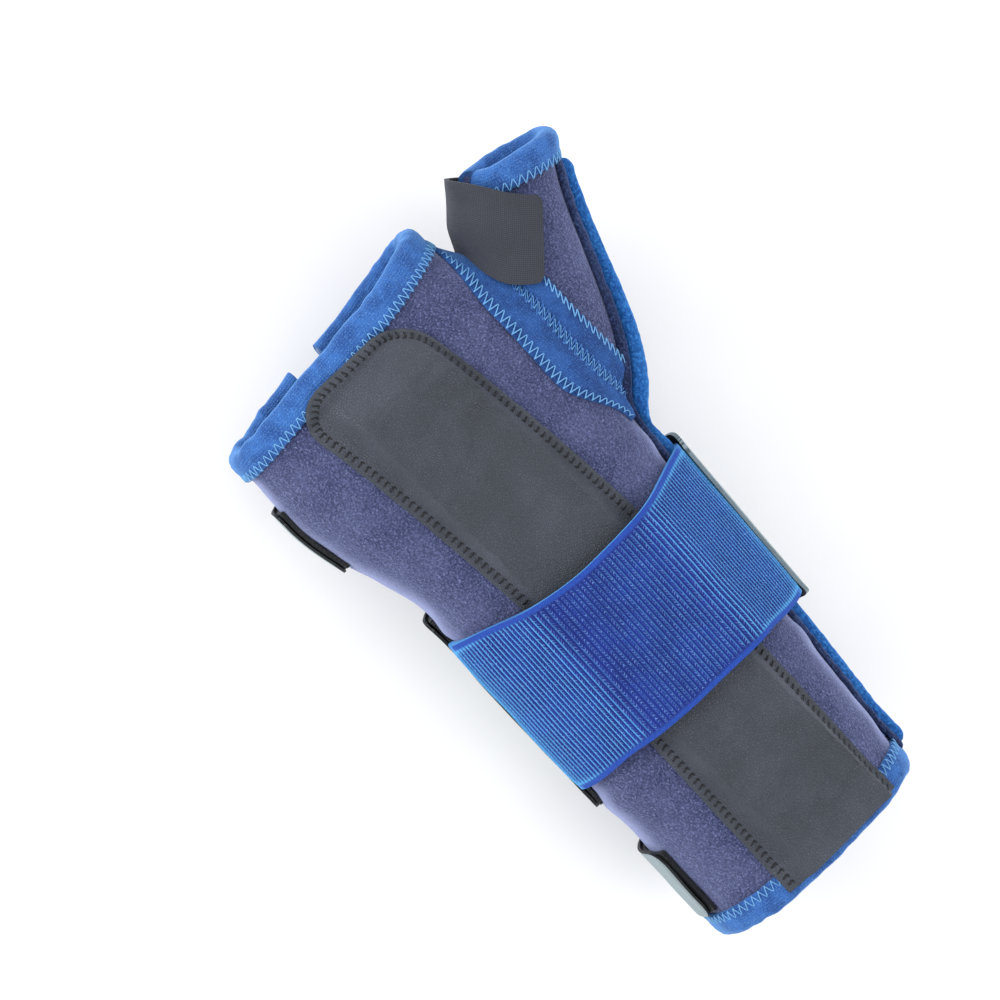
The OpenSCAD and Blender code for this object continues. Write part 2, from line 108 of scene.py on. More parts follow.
def ulnar_half(x):
    return mix(38.0, 49.5, smooth((x - 6) / 54))


def radial_half(x):
    forearm = mix(33.5, 42.0, clamp01((x - FOREARM) / 122))
    return forearm + 8 * smooth((x - 6) / 36) - 19 * smooth((x - 60) / 34)


def palmar_half(x):
    return 26 - 6 * smooth((x - 56) / 42)


def dorsal_half(x):
    return 26 - 0.0425 * (x - FOREARM)


def limb(x, a, lift=0.0):
    """Points of the limb at x and at an angle: 0 little-finger side, 90 palm, 180 thumb side, 270 back."""
    x, a, lift = np.broadcast_arrays(*(np.asarray(v, float) for v in (x, a, lift)))
    c, s = np.cos(np.radians(a)), np.sin(np.radians(a))
    half_y = np.where(c > 0, ulnar_half(x), radial_half(x))
    half_z = np.where(s > 0, palmar_half(x), dorsal_half(x))
    point = np.stack([x, half_y * signed_pow(c, POWER), half_z * signed_pow(s, POWER)], -1)
    normal = np.stack([0 * x, signed_pow(c, 2 - POWER) / half_y, signed_pow(s, 2 - POWER) / half_z], -1)
    return point + lift[..., None] * unit(normal)


def palmar_angle(x, y):
    half = np.where(np.asarray(y) > 0, ulnar_half(x), radial_half(x))
    return np.degrees(np.arccos(signed_pow(np.clip(y / half, -1, 1), 1 / POWER)))


def palm_z(x, y):
    return limb(x, palmar_angle(x, y))[..., 2]


def palm_edge_x(a):
    return PALM - 6.5 * np.cos(np.radians(a))


def slanted(x, a):
    """The panels' rows lean with the palm edge."""
    return mix(FOREARM, palm_edge_x(a), (x - FOREARM) / (PALM - FOREARM))


def skin(x, a, lift=0.0):
    return limb(slanted(x, a), a, lift)


def skin_and_normal(x, a):
    p = skin(x, a)
    return p, skin(x, a, 1.0) - p


def palm_angle(x, y):
    return palmar_angle(slanted(x, palmar_angle(x, y)), y)


def back_angle(x, y):
    return 360 - palmar_angle(slanted(x, -palmar_angle(x, y)), y)


def ulnar_angle(x, z):
    half = np.where(np.asarray(z) > 0, palmar_half(x), dorsal_half(x))
    return np.degrees(np.arcsin(signed_pow(z / half, 1 / POWER)))


def web_seam_y(x):
    return mix(-radial_half(ROOT), -40.0, smooth((x - ROOT) / 30))


def side_angle(x):
    """The palm panel's thumb-side edge: straight to the thumb's root, then along the web seam."""
    x = np.asarray(x, float)
    on_web = smooth((x - ROOT) / ROOT_TURN) * (1 - smooth((x - WEB_X) / 6))
    return mix(180.0, palm_angle(x, web_seam_y(x)), on_web)


# ---------------- the thumb's surface
THUMB_ANGLE, THUMB_LIFT, THUMB_R, RIM_SLANT = math.radians(35), math.radians(8), 13.4, 5.4
WEB_SLIT = 0.04
V_POWER = 1.35
thumb_centre = np.array([93.5, -66.0, 6.0])
thumb_dir = np.array([math.cos(THUMB_LIFT) * math.cos(THUMB_ANGLE),
                      -math.cos(THUMB_LIFT) * math.sin(THUMB_ANGLE), math.sin(THUMB_LIFT)])
thumb_web = np.array([math.sin(THUMB_ANGLE), math.cos(THUMB_ANGLE), 0.0])
thumb_palmar = np.cross(thumb_dir, thumb_web)
to_thumb_side = np.array([0.0, -1.0, 0.0])


def thumb_point(u, v):
    """u runs from the web seam to the rim; v from the palm side of the web, round the thumb, to its back."""
    u, v = np.broadcast_arrays(np.asarray(u, float), np.asarray(v, float))
    back = v > 0.5
    x = mix(WEB_X, ROOT, np.where(back, 2 * (1 - v), 2 * v) ** V_POWER)
    a = side_angle(x)
    p = skin(x, np.where(back, -a, a))
    w = np.radians(mix(18.0, 342.0, v))[..., None]
    slant = RIM_SLANT * np.cos(w) * thumb_dir
    q = thumb_centre + THUMB_R * (np.cos(w) * thumb_web + np.sin(w) * thumb_palmar) - slant
    reach = np.linalg.norm(q - p, axis=-1, keepdims=True)
    outward = np.clip(np.sin(np.pi * v), 0, 1)[..., None] ** 0.7
    leaves = unit(thumb_dir + 0.55 * to_thumb_side * outward) * reach * 0.8
    return hermite(p, q, leaves, thumb_dir * reach, u[..., None])


def thumb_normal(u, v, e=0.01):
    du = thumb_point(np.minimum(1, u + e), v) - thumb_point(np.maximum(0, u - e), v)
    dv = thumb_point(u, np.minimum(1, v + e)) - thumb_point(u, np.maximum(0, v - e))
    return unit(np.cross(dv, du))


def thumb_skin(u, v, lift=0.0):
    return thumb_point(u, v) + np.asarray(lift)[..., None] * thumb_normal(u, v)


def thumb_reach(v):
    """Length of the sheath from the web seam to the rim."""
    return np.linalg.norm(thumb_point(1.0, v) - thumb_point(0.0, v), axis=-1)


# ---------------- noise, lines and meshes
def noise(p, size, seed=0):
    """Smooth random field in [-1, 1] with features of the given size."""
    q = p / size
    cell = np.floor(q).astype(np.int64)
    f = q - cell
    f = f * f * (3 - 2 * f)
    total = 0.0
    for corner in np.ndindex(2, 2, 2):
        c = cell + np.array(corner)
        h = c[..., 0] * 73856093 ^ c[..., 1] * 19349663 ^ c[..., 2] * 83492791 ^ seed * 2654435761
        h = ((h & 0xFFFFFFFF) * 1103515245 + 12345) & 0x7FFFFFFF
        h = ((h >> 7) ^ (h << 5)) & 0xFFFFFF
        weight = np.prod(np.where(np.array(corner) == 1, f, 1 - f), axis=-1)
        total = total + weight * (h / 0x7FFFFF - 1)
    return total


def crumple(p, seed, height):
    folds = 0.6 * noise(p, 17.0, seed) + 0.3 * noise(p, 8.0, seed + 1) + 0.12 * noise(p, 3.5, seed + 2)
    return height * folds


def lengths(line):
    """Distance along a line of points, at each of them."""
    return np.concatenate([[0], np.cumsum(np.linalg.norm(np.diff(line, axis=0), axis=1))])


def spaced(line, t, count):
    """Values of t that lie an even distance apart along a line whose points are at t."""
    s = lengths(line)
    return np.interp(np.linspace(0, s[-1], count), s, t)


def evenly(line, pitch):
    """Fractional row numbers about a pitch apart along a line of points."""
    count = max(2, int(round(lengths(line)[-1] / pitch)))
    return spaced(line, np.arange(len(line)), count + 1)


def rows_at(grid, t):
    """Rows of a grid at fractional row numbers."""
    i = np.clip(np.floor(t).astype(int), 0, len(grid) - 2)
    f = (t - i).reshape(-1, *([1] * (grid.ndim - 1)))
    return grid[i] * (1 - f) + grid[i + 1] * f


def rounded_end(to_end, radius):
    """How far a corner of the given radius draws in the side, at a distance from the end."""
    return radius - np.sqrt(np.maximum(0, radius**2 - np.maximum(0, radius - to_end) ** 2))


def quads(rows, cols, base=0, close=False):
    i, j = np.meshgrid(np.arange(rows - 1), np.arange(cols if close else cols - 1), indexing="ij")
    k = (j + 1) % cols
    corners = [i * cols + j, i * cols + k, (i + 1) * cols + k, (i + 1) * cols + j]
    return (base + np.stack(corners, -1)).reshape(-1, 4)


def new_object(name, data):
    obj = bpy.data.objects.new(name, data)
    bpy.context.scene.collection.objects.link(obj)
    return obj


def add_object(name, points, faces):
    """Bare mesh from points in millimetres."""
    mesh = bpy.data.meshes.new(name)
    co = np.asarray(points).reshape(-1, 3) * MM
    mesh.from_pydata(co.tolist(), [], [list(map(int, face)) for face in faces])
    return new_object(name, mesh)


def make_mesh(name, points, faces, materials, face_material=None, uv=None, sharp=50):
    obj = add_object(name, points, faces)
    mesh = obj.data
    for material in materials:
        mesh.materials.append(material)
    if face_material is not None:
        mesh.polygons.foreach_set("material_index", np.asarray(face_material, np.int32))
    if uv is not None:
        loops = np.zeros(len(mesh.loops), np.int32)
        mesh.loops.foreach_get("vertex_index", loops)
        mesh.uv_layers.new(name="weave").data.foreach_set("uv", np.asarray(uv, np.float32)[loops].ravel())
    bm = bmesh.new()
    bm.from_mesh(mesh)
    bmesh.ops.recalc_face_normals(bm, faces=bm.faces)
    bm.to_mesh(mesh)
    bm.free()
    mesh.shade_smooth()
    if sharp:
        mesh.set_sharp_from_angle(angle=math.radians(sharp))
    return obj


def weave_uv(across, along):
    """Weave coordinates of a grid, in millimetres: across its columns, then along its rows."""
    return np.stack(np.meshgrid(across, along), -1).reshape(-1, 2)


def sheet(name, top, under, materials, rim_material=0, uv=None):
    """Closed piece between two grids of points; the last material is on the inside."""
    n, m = top.shape[:2]
    count = n * m
    outer, inner = quads(n, m), quads(n, m, count)
    grid = np.arange(count).reshape(n, m)
    ring = np.concatenate([grid[0], grid[1:, -1], grid[-1, -2::-1], grid[-2:0:-1, 0]])
    after = np.roll(ring, -1)
    rim = np.stack([ring, after, after + count, ring + count], -1)
    faces = np.concatenate([outer, inner[:, ::-1], rim])
    which = np.repeat([0, len(materials) - 1, rim_material], [len(outer), len(inner), len(rim)])
    if uv is None:
        uv = weave_uv(lengths(top[n // 2]), lengths(top[:, m // 2]))
    points = np.concatenate([top.reshape(-1, 3), under.reshape(-1, 3)])
    return make_mesh(name, points, faces, materials, which, np.concatenate([uv, uv]))


def sweep(name, rings, material):
    """Closed piece through rings of points, capped at both ends."""
    n, k = rings.shape[:2]
    points = np.concatenate([rings.reshape(-1, 3), rings[:1].mean(1), rings[-1:].mean(1)])
    faces = quads(n, k, close=True).tolist()
    faces += [[(j + 1) % k, j, n * k] for j in range(k)]
    faces += [[(n - 1) * k + j, (n - 1) * k + (j + 1) % k, n * k + 1] for j in range(k)]
    around = lengths(np.concatenate([rings[n // 2], rings[n // 2][:1]]))[:k]
    uv = np.concatenate([weave_uv(around, lengths(rings[:, 0])), [[0, 0], [0, 0]]])
    return make_mesh(name, points, faces, [material], uv=uv, sharp=60)


def threads(name, a, b, normal, radius, material, slot, arch=0.28, sink=0.2):
    """One stitch of thread from each a to each b, arched over the fabric."""
    across = unit(np.cross(normal, b - a))
    stations = np.array([0.0, 0.12, 0.5, 0.88, 1.0])
    heights = np.array([-sink, arch * 0.75, arch, arch * 0.75, -sink])
    sides = 6
    turn = np.linspace(0, 2 * np.pi, sides, endpoint=False)
    path = a[:, None] + (b - a)[:, None] * stations[:, None] + normal[:, None] * heights[:, None]
    across, upward = across[:, None, None], normal[:, None, None]
    ring = radius * (np.cos(turn)[:, None] * across + np.sin(turn)[:, None] * upward)
    per_thread = sides * len(stations)
    faces = quads(len(stations), sides, close=True)
    caps = [range(sides - 1, -1, -1), range(per_thread - sides, per_thread)]
    everything = []
    for first in range(0, per_thread * len(a), per_thread):
        everything += (faces + first).tolist()
        everything += [[first + k for k in cap] for cap in caps]
    return make_mesh(name, path[:, :, None] + ring, everything, [material], sharp=0)


def dashes(name, line, normal, radius, material, slot, arch):
    """Running stitch: a thread over every second gap of a line of points."""
    n = len(line) // 2 * 2
    return threads(name, line[:n:2], line[1:n:2], normal[:n:2], radius, material, slot, arch)


def zigzag(name, low, high, normal, material, slot, **how):
    """Zigzag of single stitches between two rows of points of the same length."""
    ends = np.where((np.arange(len(low)) % 2 == 0)[:, None], low, high)
    return threads(name, ends[:-1], ends[1:], unit(normal[:-1] + normal[1:]), 0.18, material, slot, **how)


def attach(piece, where, *nodes):
    """Puts a piece on a body in place of the CAD nodes it stands for; given a fold between two bodies
    instead, it only bakes the piece's transform.
    """
    if nodes:
        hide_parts(*nodes)
    if isinstance(where, str):
        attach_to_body(piece, where)
    else:
        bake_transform(piece)


# ---------------- materials
def linear(r, g, b):
    return *(((c / 255 + 0.055) / 1.055) ** 2.4 if c > 10 else c / 255 / 12.92 for c in (r, g, b)), 1.0


class Graph:
    """Shader nodes of one material, whose colour is laid on in steps. A colour of three numbers, each 0 to
    255, is one as it looks on a screen."""

    def __init__(self, name, colour):
        self.material = bpy.data.materials.new(name)
        self.material.use_nodes = True
        self.tree = self.material.node_tree
        self.shader = self.tree.nodes["Principled BSDF"]
        self.colour = colour
        place = self.node("ShaderNodeTexCoord").outputs["Object"]
        in_mm = {0: place, "Scale": 1 / MM}
        self.place = self.node("ShaderNodeVectorMath", in_mm, operation="SCALE").outputs[0]

    def node(self, kind, inputs=(), **settings):
        """Inputs are given in order, or by name in a dictionary."""
        node = self.tree.nodes.new(kind)
        for key, value in settings.items():
            setattr(node, key, value)
        for key, value in inputs.items() if isinstance(inputs, dict) else enumerate(inputs):
            self.put(value, node.inputs[key])
        return node

    def put(self, value, socket):
        if isinstance(value, bpy.types.NodeSocket):
            self.tree.links.new(value, socket)
        elif socket.type == "RGBA" and len(value) == 3:
            socket.default_value = linear(*value)
        else:
            socket.default_value = value

    def math(self, operation, a, b=0.0, c=0.0):
        return self.node("ShaderNodeMath", (a, b, c), operation=operation).outputs[0]

    def add(self, a, *others):
        for b in others:
            a = self.math("ADD", a, b)
        return a

    def mul(self, a, *others):
        for b in others:
            a = self.math("MULTIPLY", a, b)
        return a

    def noise(self, size, detail=2.0, place=None, roughness=0.55):
        inputs = {"Vector": place or self.place, "Scale": 1 / size, "Detail": detail, "Roughness": roughness}
        return self.node("ShaderNodeTexNoise", inputs).outputs["Fac"]

    def cells(self, size, feature="F1", place=None):
        inputs = {"Vector": place or self.place, "Scale": 1 / size}
        return self.node("ShaderNodeTexVoronoi", inputs, feature=feature).outputs["Distance"]

    def span(self, value, low, high, to_low=0.0, to_high=1.0):
        """A smooth step from one value to another between low and high."""
        inputs = {"Value": value, "From Min": low, "From Max": high, "To Min": to_low, "To Max": to_high}
        return self.node("ShaderNodeMapRange", inputs, interpolation_type="SMOOTHSTEP").outputs["Result"]

    def blend(self, factor, a, b):
        inputs = {"Factor": factor, "A": a, "B": b}
        return self.node("ShaderNodeMix", inputs, data_type="RGBA").outputs["Result"]

    def through(self, mask, colour):
        """Lays a colour over the one so far, through a mask."""
        self.colour = self.blend(mask, self.colour, colour)

    def lay(self, colour, value, low, high, amount=1.0):
        """The same, where a value rises from low to high."""
        self.through(self.span(value, low, high, 0.0, amount), colour)

    def paint_grazing_highlight(self, colour, amount, low=0.45, high=0.95):
        """Painted highlight: lighter fibres where the surface turns away from the camera, in place of light
        caught at grazing angles.
        """
        facing = self.node("ShaderNodeLayerWeight", {"Blend": 0.5}).outputs["Facing"]
        self.lay(colour, facing, low, high, amount)

    def weave(self):
        """The piece's own weave coordinates, in millimetres."""
        uv = self.node("ShaderNodeUVMap", uv_map="weave").outputs[0]
        return self.node("ShaderNodeSeparateXYZ", (uv,)).outputs[:2]

    def wave(self, value, pitch, shift=0.0):
        """Sine of a length, from 0 to 1."""
        turn = self.math("MULTIPLY_ADD", value, 2 * math.pi / pitch, shift)
        return self.math("MULTIPLY_ADD", self.math("SINE", turn), 0.5, 0.5)

    def bump(self, depth, *heights):
        """The sum of the heights, in units of depth millimetres."""
        bump = self.node("ShaderNodeBump", {"Distance": depth * MM, "Height": self.add(*heights)})
        self.put(bump.outputs[0], self.shader.inputs["Normal"])

    def finish(self, roughness, sheen=0.0, tint=(255, 255, 255), sheen_roughness=0.4, metallic=0.0,
               specular=0.4):
        values = {"Base Color": self.colour, "Roughness": roughness, "Metallic": metallic,
                  "Sheen Weight": sheen, "Sheen Tint": tint, "Sheen Roughness": sheen_roughness,
                  "Specular IOR Level": specular}
        for name, value in values.items():
            self.put(value, self.shader.inputs[name])
        return self.material


def brushed_fabric(name, dark, middle, light, tuft=0.55, depth=0.5, sheen=0.7, tint=None):
    """Brushed loop pile: speckled melange, with painted shade between the loop tufts and a painted highlight
    at grazing angles.
    """
    g = Graph(name, dark)
    fine, loops = g.noise(tuft, 3.0, roughness=0.7), g.cells(tuft * 1.3)
    g.lay(middle, fine, 0.36, 0.56)
    g.lay(light, fine, 0.52, 0.72)
    g.lay(light, g.noise(14.0), 0.35, 0.7, 0.2)
    # Painted shade: darker between the loop tufts, where the bump sinks.
    g.lay(dark, loops, 0.35, 0.75, 0.4)
    # Painted highlight: lighter colour at grazing angles.
    g.paint_grazing_highlight(tint or light, 0.75)
    g.bump(depth, g.mul(fine, 1.2), g.mul(loops, -0.6), g.mul(g.noise(3.2), 1.4))
    return g.finish(g.span(fine, 0.3, 0.7, 0.98, 0.82), sheen, tint or light, 0.45, specular=0.15)


def knitted_tape(name, dark, middle, light):
    """Folded tape of fine knit, with painted fold shadows and a painted highlight on its edges."""
    g = Graph(name, dark)
    u, v = g.weave()
    knit = g.mul(g.wave(u, 0.9), g.wave(g.add(v, g.mul(g.noise(2.5), 2.0)), 0.72))
    fine = g.noise(0.45, 3.0, roughness=0.7)
    # Painted fold shadows: the tape stays dark where this slow noise is low.
    g.lay(middle, g.noise(6.0, 3.0), 0.36, 0.66)
    g.lay(light, fine, 0.5, 0.75, 0.7)
    g.through(g.mul(knit, 0.25), light)
    # Painted highlight on the edges, where the tape turns away.
    g.paint_grazing_highlight(light, 0.7)
    g.bump(0.22, knit, g.mul(fine, 1.4), g.mul(g.noise(2.2), 2.4))
    return g.finish(0.85, 0.6, light, 0.35, specular=0.2)


def leatherette(name):
    """Fine pebbled grain with painted shade in its creases and a slow unevenness."""
    g = Graph(name, (51, 56, 65))
    shaken = g.node("ShaderNodeVectorMath", (g.place, g.noise(2.0)), operation="ADD").outputs[0]
    pebble = g.span(g.cells(0.75, "DISTANCE_TO_EDGE", shaken), 0.0, 0.22)
    slow = g.noise(22.0, 3.0)
    g.lay((65, 70, 81), slow, 0.3, 0.7)
    # Painted shade: darker in the grain's creases, where the bump sinks.
    g.through(g.span(pebble, 0.0, 1.0, 0.3, 0.0), (40, 44, 50))
    g.bump(0.13, pebble, g.mul(g.cells(0.4), 0.35), g.mul(g.noise(7.0, 3.0), 2.2))
    roughness = g.add(g.span(pebble, 0, 1, 0.62, 0.46), g.mul(slow, 0.08))
    return g.finish(roughness, 0.12, (140, 160, 185), 0.5, specular=0.42)


def ribbed_elastic(name):
    """Ribs of slanted stitches, bright yarn over a deep ground, with smooth selvedges, painted shade in the
    rib valleys and painted highlights at grazing angles.
    """
    g = Graph(name, (22, 38, 116))
    u, v = g.weave()
    rib = g.wave(u, RIB_PITCH, math.pi / 2)
    two_ribs = g.math("FRACT", g.math("DIVIDE", u, 2 * RIB_PITCH))
    side = g.math("ABSOLUTE", g.math("SUBTRACT", two_ribs, 0.5))
    stitch = g.wave(g.add(v, g.mul(side, 5.2), g.mul(g.noise(1.9), 1.6)), 1.15)
    body = g.mul(g.span(v, 1.3, 2.2), g.span(v, STRAP_W - 2.2, STRAP_W - 1.3, 1.0, 0.0))
    yarn = g.mul(g.math("POWER", rib, 0.7), stitch, body)
    fleck = g.mul(g.span(yarn, 0.3, 0.9), g.span(g.noise(0.9, 3.0), 0.42, 0.62))
    g.lay((30, 52, 142), g.noise(9.0, 3.0), 0.35, 0.68)
    # Painted shade in the rib valleys.
    g.through(g.mul(g.span(rib, 0.0, 0.35, 0.5, 0.0), body), (14, 26, 96))
    g.lay((46, 76, 176), yarn, 0.12, 0.75, 0.75)
    # Painted highlight: lighter yarn at grazing angles.
    g.paint_grazing_highlight((98, 194, 255), 0.92, 0.12, 0.62)
    g.through(g.mul(fleck, 0.45), (140, 182, 246))
    # More painted shade in the rib valleys.
    g.through(g.mul(g.span(rib, 0.0, 0.4, 0.35, 0.0), body), (16, 36, 116))
    g.through(g.math("SUBTRACT", 1.0, body), g.blend(g.noise(0.6), (16, 44, 124), (40, 84, 182)))
    # A second painted highlight at the most grazing angles.
    g.paint_grazing_highlight((110, 190, 250), 0.7, 0.55)
    g.bump(0.42, yarn, g.mul(g.noise(0.4), 0.6))
    return g.finish(g.span(yarn, 0, 1, 0.85, 0.6), 0.35, (90, 180, 255), 0.3, specular=0.3)


def woven(name, dark, light, pitch, depth=0.2, diamond=False):
    """Close weave with a painted highlight at grazing angles; diamond turns it by 45 degrees into a fine
    lattice.
    """
    g = Graph(name, dark)
    u, v = g.weave()
    if diamond:
        u, v = g.add(u, v), g.math("SUBTRACT", u, v)
    over = g.mul(g.wave(u, pitch), g.wave(v, pitch))
    both = g.add(over, g.mul(g.wave(u, pitch, math.pi), g.wave(v, pitch, math.pi)))
    g.lay(light, both, 0.2, 0.8)
    g.lay(dark, g.noise(8.0, 3.0), 0.35, 0.7, 0.3)
    g.lay(light, g.noise(0.5), 0.5, 0.75, 0.35)
    # Painted highlight at grazing angles.
    g.paint_grazing_highlight(light, 0.6)
    g.bump(depth, both, g.mul(g.noise(2.5), 1.2))
    return g.finish(0.75, 0.2, light, specular=0.25)


def hook_field(name):
    """Rows of small moulded hooks."""
    g = Graph(name, (14, 17, 20))
    u, v = g.weave()
    tips = g.span(g.mul(g.wave(u, 0.95), g.wave(v, 0.8)), 0.3, 0.8)
    g.through(tips, (52, 58, 62))
    g.lay((40, 44, 46), g.noise(6.0), 0.45, 0.8, 0.4)
    g.bump(0.5, tips, g.mul(g.noise(0.6), 0.5))
    return g.finish(0.5)


def sewing_thread(name, colour):
    """Twisted thread, with painted shade between its strands."""
    g = Graph(name, colour)
    twist = g.noise(0.35)
    shadow = *(c * 0.45 for c in linear(*colour)[:3]), 1.0
    g.lay(shadow, twist, 0.35, 0.65, 0.55)
    g.bump(0.12, twist)
    return g.finish(0.55, 0.3, colour, 0.3)


def rolled_metal(name):
    """Bare aluminium with rolling marks along it and dull worn patches."""
    g = Graph(name, (178, 182, 188))
    stretched = g.node("ShaderNodeVectorMath", (g.place, (0.04, 1.0, 1.0)), operation="MULTIPLY").outputs[0]
    streak = g.noise(0.35, 3.0, stretched)
    g.lay((214, 217, 221), streak, 0.3, 0.7)
    g.lay((150, 154, 160), g.noise(14.0, 4.0), 0.5, 0.75, 0.5)
    g.bump(0.02, streak)
    return g.finish(g.add(g.mul(streak, 0.25), 0.25), metallic=1.0)


RIB_PITCH, STRAP_W = 1.5, 56.0
loop_fabric = brushed_fabric("Brushed loop", (44, 48, 80), (72, 78, 118), (122, 130, 174), sheen=0.55,
                             tint=(172, 182, 226))
lining = brushed_fabric("Lining", (22, 28, 62), (34, 42, 88), (60, 72, 128), 0.9, 0.4, 0.3)
binding_tape = knitted_tape("Binding tape", (34, 74, 142), (52, 102, 176), (106, 158, 222))
web_tape = knitted_tape("Web tape", (26, 58, 118), (40, 82, 150), (84, 132, 196))
seam_tape_cloth = brushed_fabric("Seam tape", (18, 26, 52), (36, 48, 86), (70, 88, 134), 0.8, 0.8, 0.5)
piping_cloth = brushed_fabric("Edge piping", (22, 66, 128), (36, 98, 172), (64, 134, 202), 0.9, 0.4)
pocket_cover = leatherette("Grained leatherette")
elastic = ribbed_elastic("Ribbed elastic")
tab_cloth = woven("Tab backing", (80, 94, 98), (160, 175, 180), 0.9)
strap_cloth = woven("Thumb strap", (45, 48, 55), (66, 69, 78), 1.1, depth=0.14, diamond=True)
sleeve_cloth = woven("Sleeve fabric", (26, 26, 60), (58, 60, 110), 0.8)
hooks = hook_field("Hook strip")
pale_thread = sewing_thread("Pale blue thread", (108, 168, 222))
blue_thread = sewing_thread("Blue thread", (58, 112, 184))
black_thread = sewing_thread("Black thread", (18, 20, 25))
grey_thread = sewing_thread("Grey thread", (120, 130, 134))
metal = rolled_metal("Rolled aluminium")


# ---------------- fabric panels
STRAP_X, STRAP_HALF = -28.0, STRAP_W / 2
ROW = 1.4


def strap_press(x):
    """1 under the tight elastic strap, 0 away from it."""
    return 1 - smooth((np.abs(x - STRAP_X) - STRAP_HALF + 1) / 7)


def strap_ridge(x):
    """Fabric bulges a little on both sides of the strap."""
    return np.exp(-((np.abs(x - STRAP_X) - STRAP_HALF - 7) / 5.0) ** 2)


def pocket_centre(x):
    return 12.5 * (np.maximum(0, x + 15) / 99) ** 1.4


def panel_relief(p, seed):
    """Height of the outer face over the law's surface; zero where another layer lies on it."""
    x, y, z = p[..., 0], p[..., 1], p[..., 2]
    beside_pocket = np.where(z > 0, smooth((np.abs(y - pocket_centre(x)) - 22) / 6), 1.0)
    clear_ends = smooth((x - FOREARM - 8) / 6) * smooth((PALM - 9 - x) / 6)
    free = (1 - strap_press(x)) * beside_pocket * clear_ends
    fold = np.sin((x + 0.55 * np.abs(y) + 6 * noise(p, 20.0, seed + 5)) / 4.4)
    fold = fold * (0.5 + 0.5 * noise(p, 24.0, seed + 9))
    return free * (crumple(p, seed, 0.75) + 0.225 * fold + 0.9 * strap_ridge(x))


along_limb = np.linspace(FOREARM, PALM, int((PALM - FOREARM) / ROW))
x_rows = np.unique(np.concatenate([along_limb, np.linspace(ROOT, ROOT + ROOT_TURN, 7)]))


def limb_panel(name, start, end, cols, seed, where, *nodes):
    """Panel between two angles, flat along its sewn edges."""
    a = mix(start(x_rows)[:, None], end(x_rows)[:, None], np.linspace(0, 1, cols))
    x = x_rows[:, None]
    base = skin(x, a)
    to_edge = np.minimum(a - a[:, :1], a[:, -1:] - a)
    top = skin(x, a, panel_relief(base, seed) * smooth(to_edge / 8))
    under = skin(x, a, -PANEL + 0.3 * noise(base, 9.0, seed + 3))
    attach(sheet(name, top, under, [loop_fabric, lining]), where, *nodes)


def palm_start(x):
    return back_angle(x, OPENING_ULNAR_Y) - 360


def gusset_start(x):
    """The gusset meets the palm panel, and reaches a little under the thumb's back panel."""
    return 360 - side_angle(x) - 0.8 * smooth((x - ROOT) / ROOT_TURN)


def dorsal_end(x):
    return back_angle(x, OPENING_FLAP_Y)


def fold_angle(x):
    """The bindings are divided here, beside the dorsal panel's soft fold."""
    return back_angle(x, -20.0)


FOLD = ("brace", "dorsal_flap", Vector((-0.028, -0.0195, -0.022)), Vector((-0.028, -0.0125, -0.022)))
limb_panel("palm_fabric", palm_start, side_angle, 110, 3, "brace", "palm_panel")
limb_panel("back_fabric", gusset_start, dorsal_end, 60, 11, FOLD, "radial_gusset", "dorsal_panel")

STAY_V = 0.66


def thumb_fabric(name, front, seed, node):
    """Half of the sheath. Its columns lie closest at the thumb side, where the halves meet."""
    t = np.linspace(0, 1, 64)
    if front:
        u_from = 0.03
        v = mix(WEB_SLIT, 0.5, 1 - (1 - t) ** 1.8)
        free = smooth((0.44 - v) / 0.04)
    else:
        u_from = 0.0
        v = mix(0.5, 1 - WEB_SLIT, t**1.8)
        free = smooth((v - 0.53) / 0.04) * (1 - np.exp(-(((v - STAY_V) / 0.07) ** 2)))
    u, v = np.meshgrid(np.linspace(u_from, 1, 60), v, indexing="ij")
    free = free * smooth((0.9 - u) / 0.1) * smooth((u - 0.2) / 0.1)
    top = thumb_skin(u, v, free * crumple(thumb_point(u, v), seed, 0.7))
    thin = mix(0.2, 1.0, smooth(np.abs(v - 0.5) / 0.07))
    under = thumb_skin(u, v, -PANEL * thin)
    attach(sheet(name, top, under, [loop_fabric, lining]), "brace", node)


thumb_fabric("thumb_front_fabric", True, 23, "thumb_front_panel")
thumb_fabric("thumb_back_fabric", False, 37, "thumb_back_panel")


# ---------------- bindings
# Section of a binding as (distance inside the edge, height over the outer face), round the panel's edge.
OUTER_LEG = ((7.2, 0.12), (7.15, 0.6), (6.7, 1.05), (5.6, 1.4), (4.2, 1.6), (2.6, 1.75), (1.0, 1.7),
             (-0.4, 1.25))
EDGE_TURN = ((-1.3, 0.4), (-1.75, -0.7), (-1.85, -1.7), (-1.6, -2.8), (-1.0, -3.8), (0.2, -4.4))
INNER_LEG = ((2.6, -4.6), (4.6, -4.5), (6.3, -4.2), (7.0, -3.7), (7.05, -3.12))
INSIDE = ((4.0, -3.15), (0.2, -3.1), (-0.15, -1.5), (0.2, 0.1), (4.0, 0.1))
HALF_ZIGZAG = 1.15


def bound_edge(name, at, count, seed, puff=1.0, frill=0.35):
    """Binding along an edge. at(inset, t) gives points and normals at fractions t of the edge."""
    dense = np.linspace(0, 1, 160)
    t = spaced(at(0.0, dense)[0], dense, count)
    edge, _ = at(0.0, t)
    out = unit(edge - at(2.0, t)[0])
    swell = noise(edge, 7.0, seed)[:, None]
    sway = frill * (noise(edge, 6.0, seed + 1) + 0.6 * noise(edge, 3.0, seed + 2))[:, None]
    rings = []
    for inset, height in OUTER_LEG + EDGE_TURN + INNER_LEG + INSIDE:
        p, n = at(max(inset, 0.0), t)
        lift = height * (puff + 0.16 * swell) if height > 0.5 else height
        rings.append(p + lift * n + out * (max(-inset, 0.0) + (sway if inset < 2.7 else 0.4 * sway)))
    return sweep(name, np.stack(rings, 1), binding_tape)


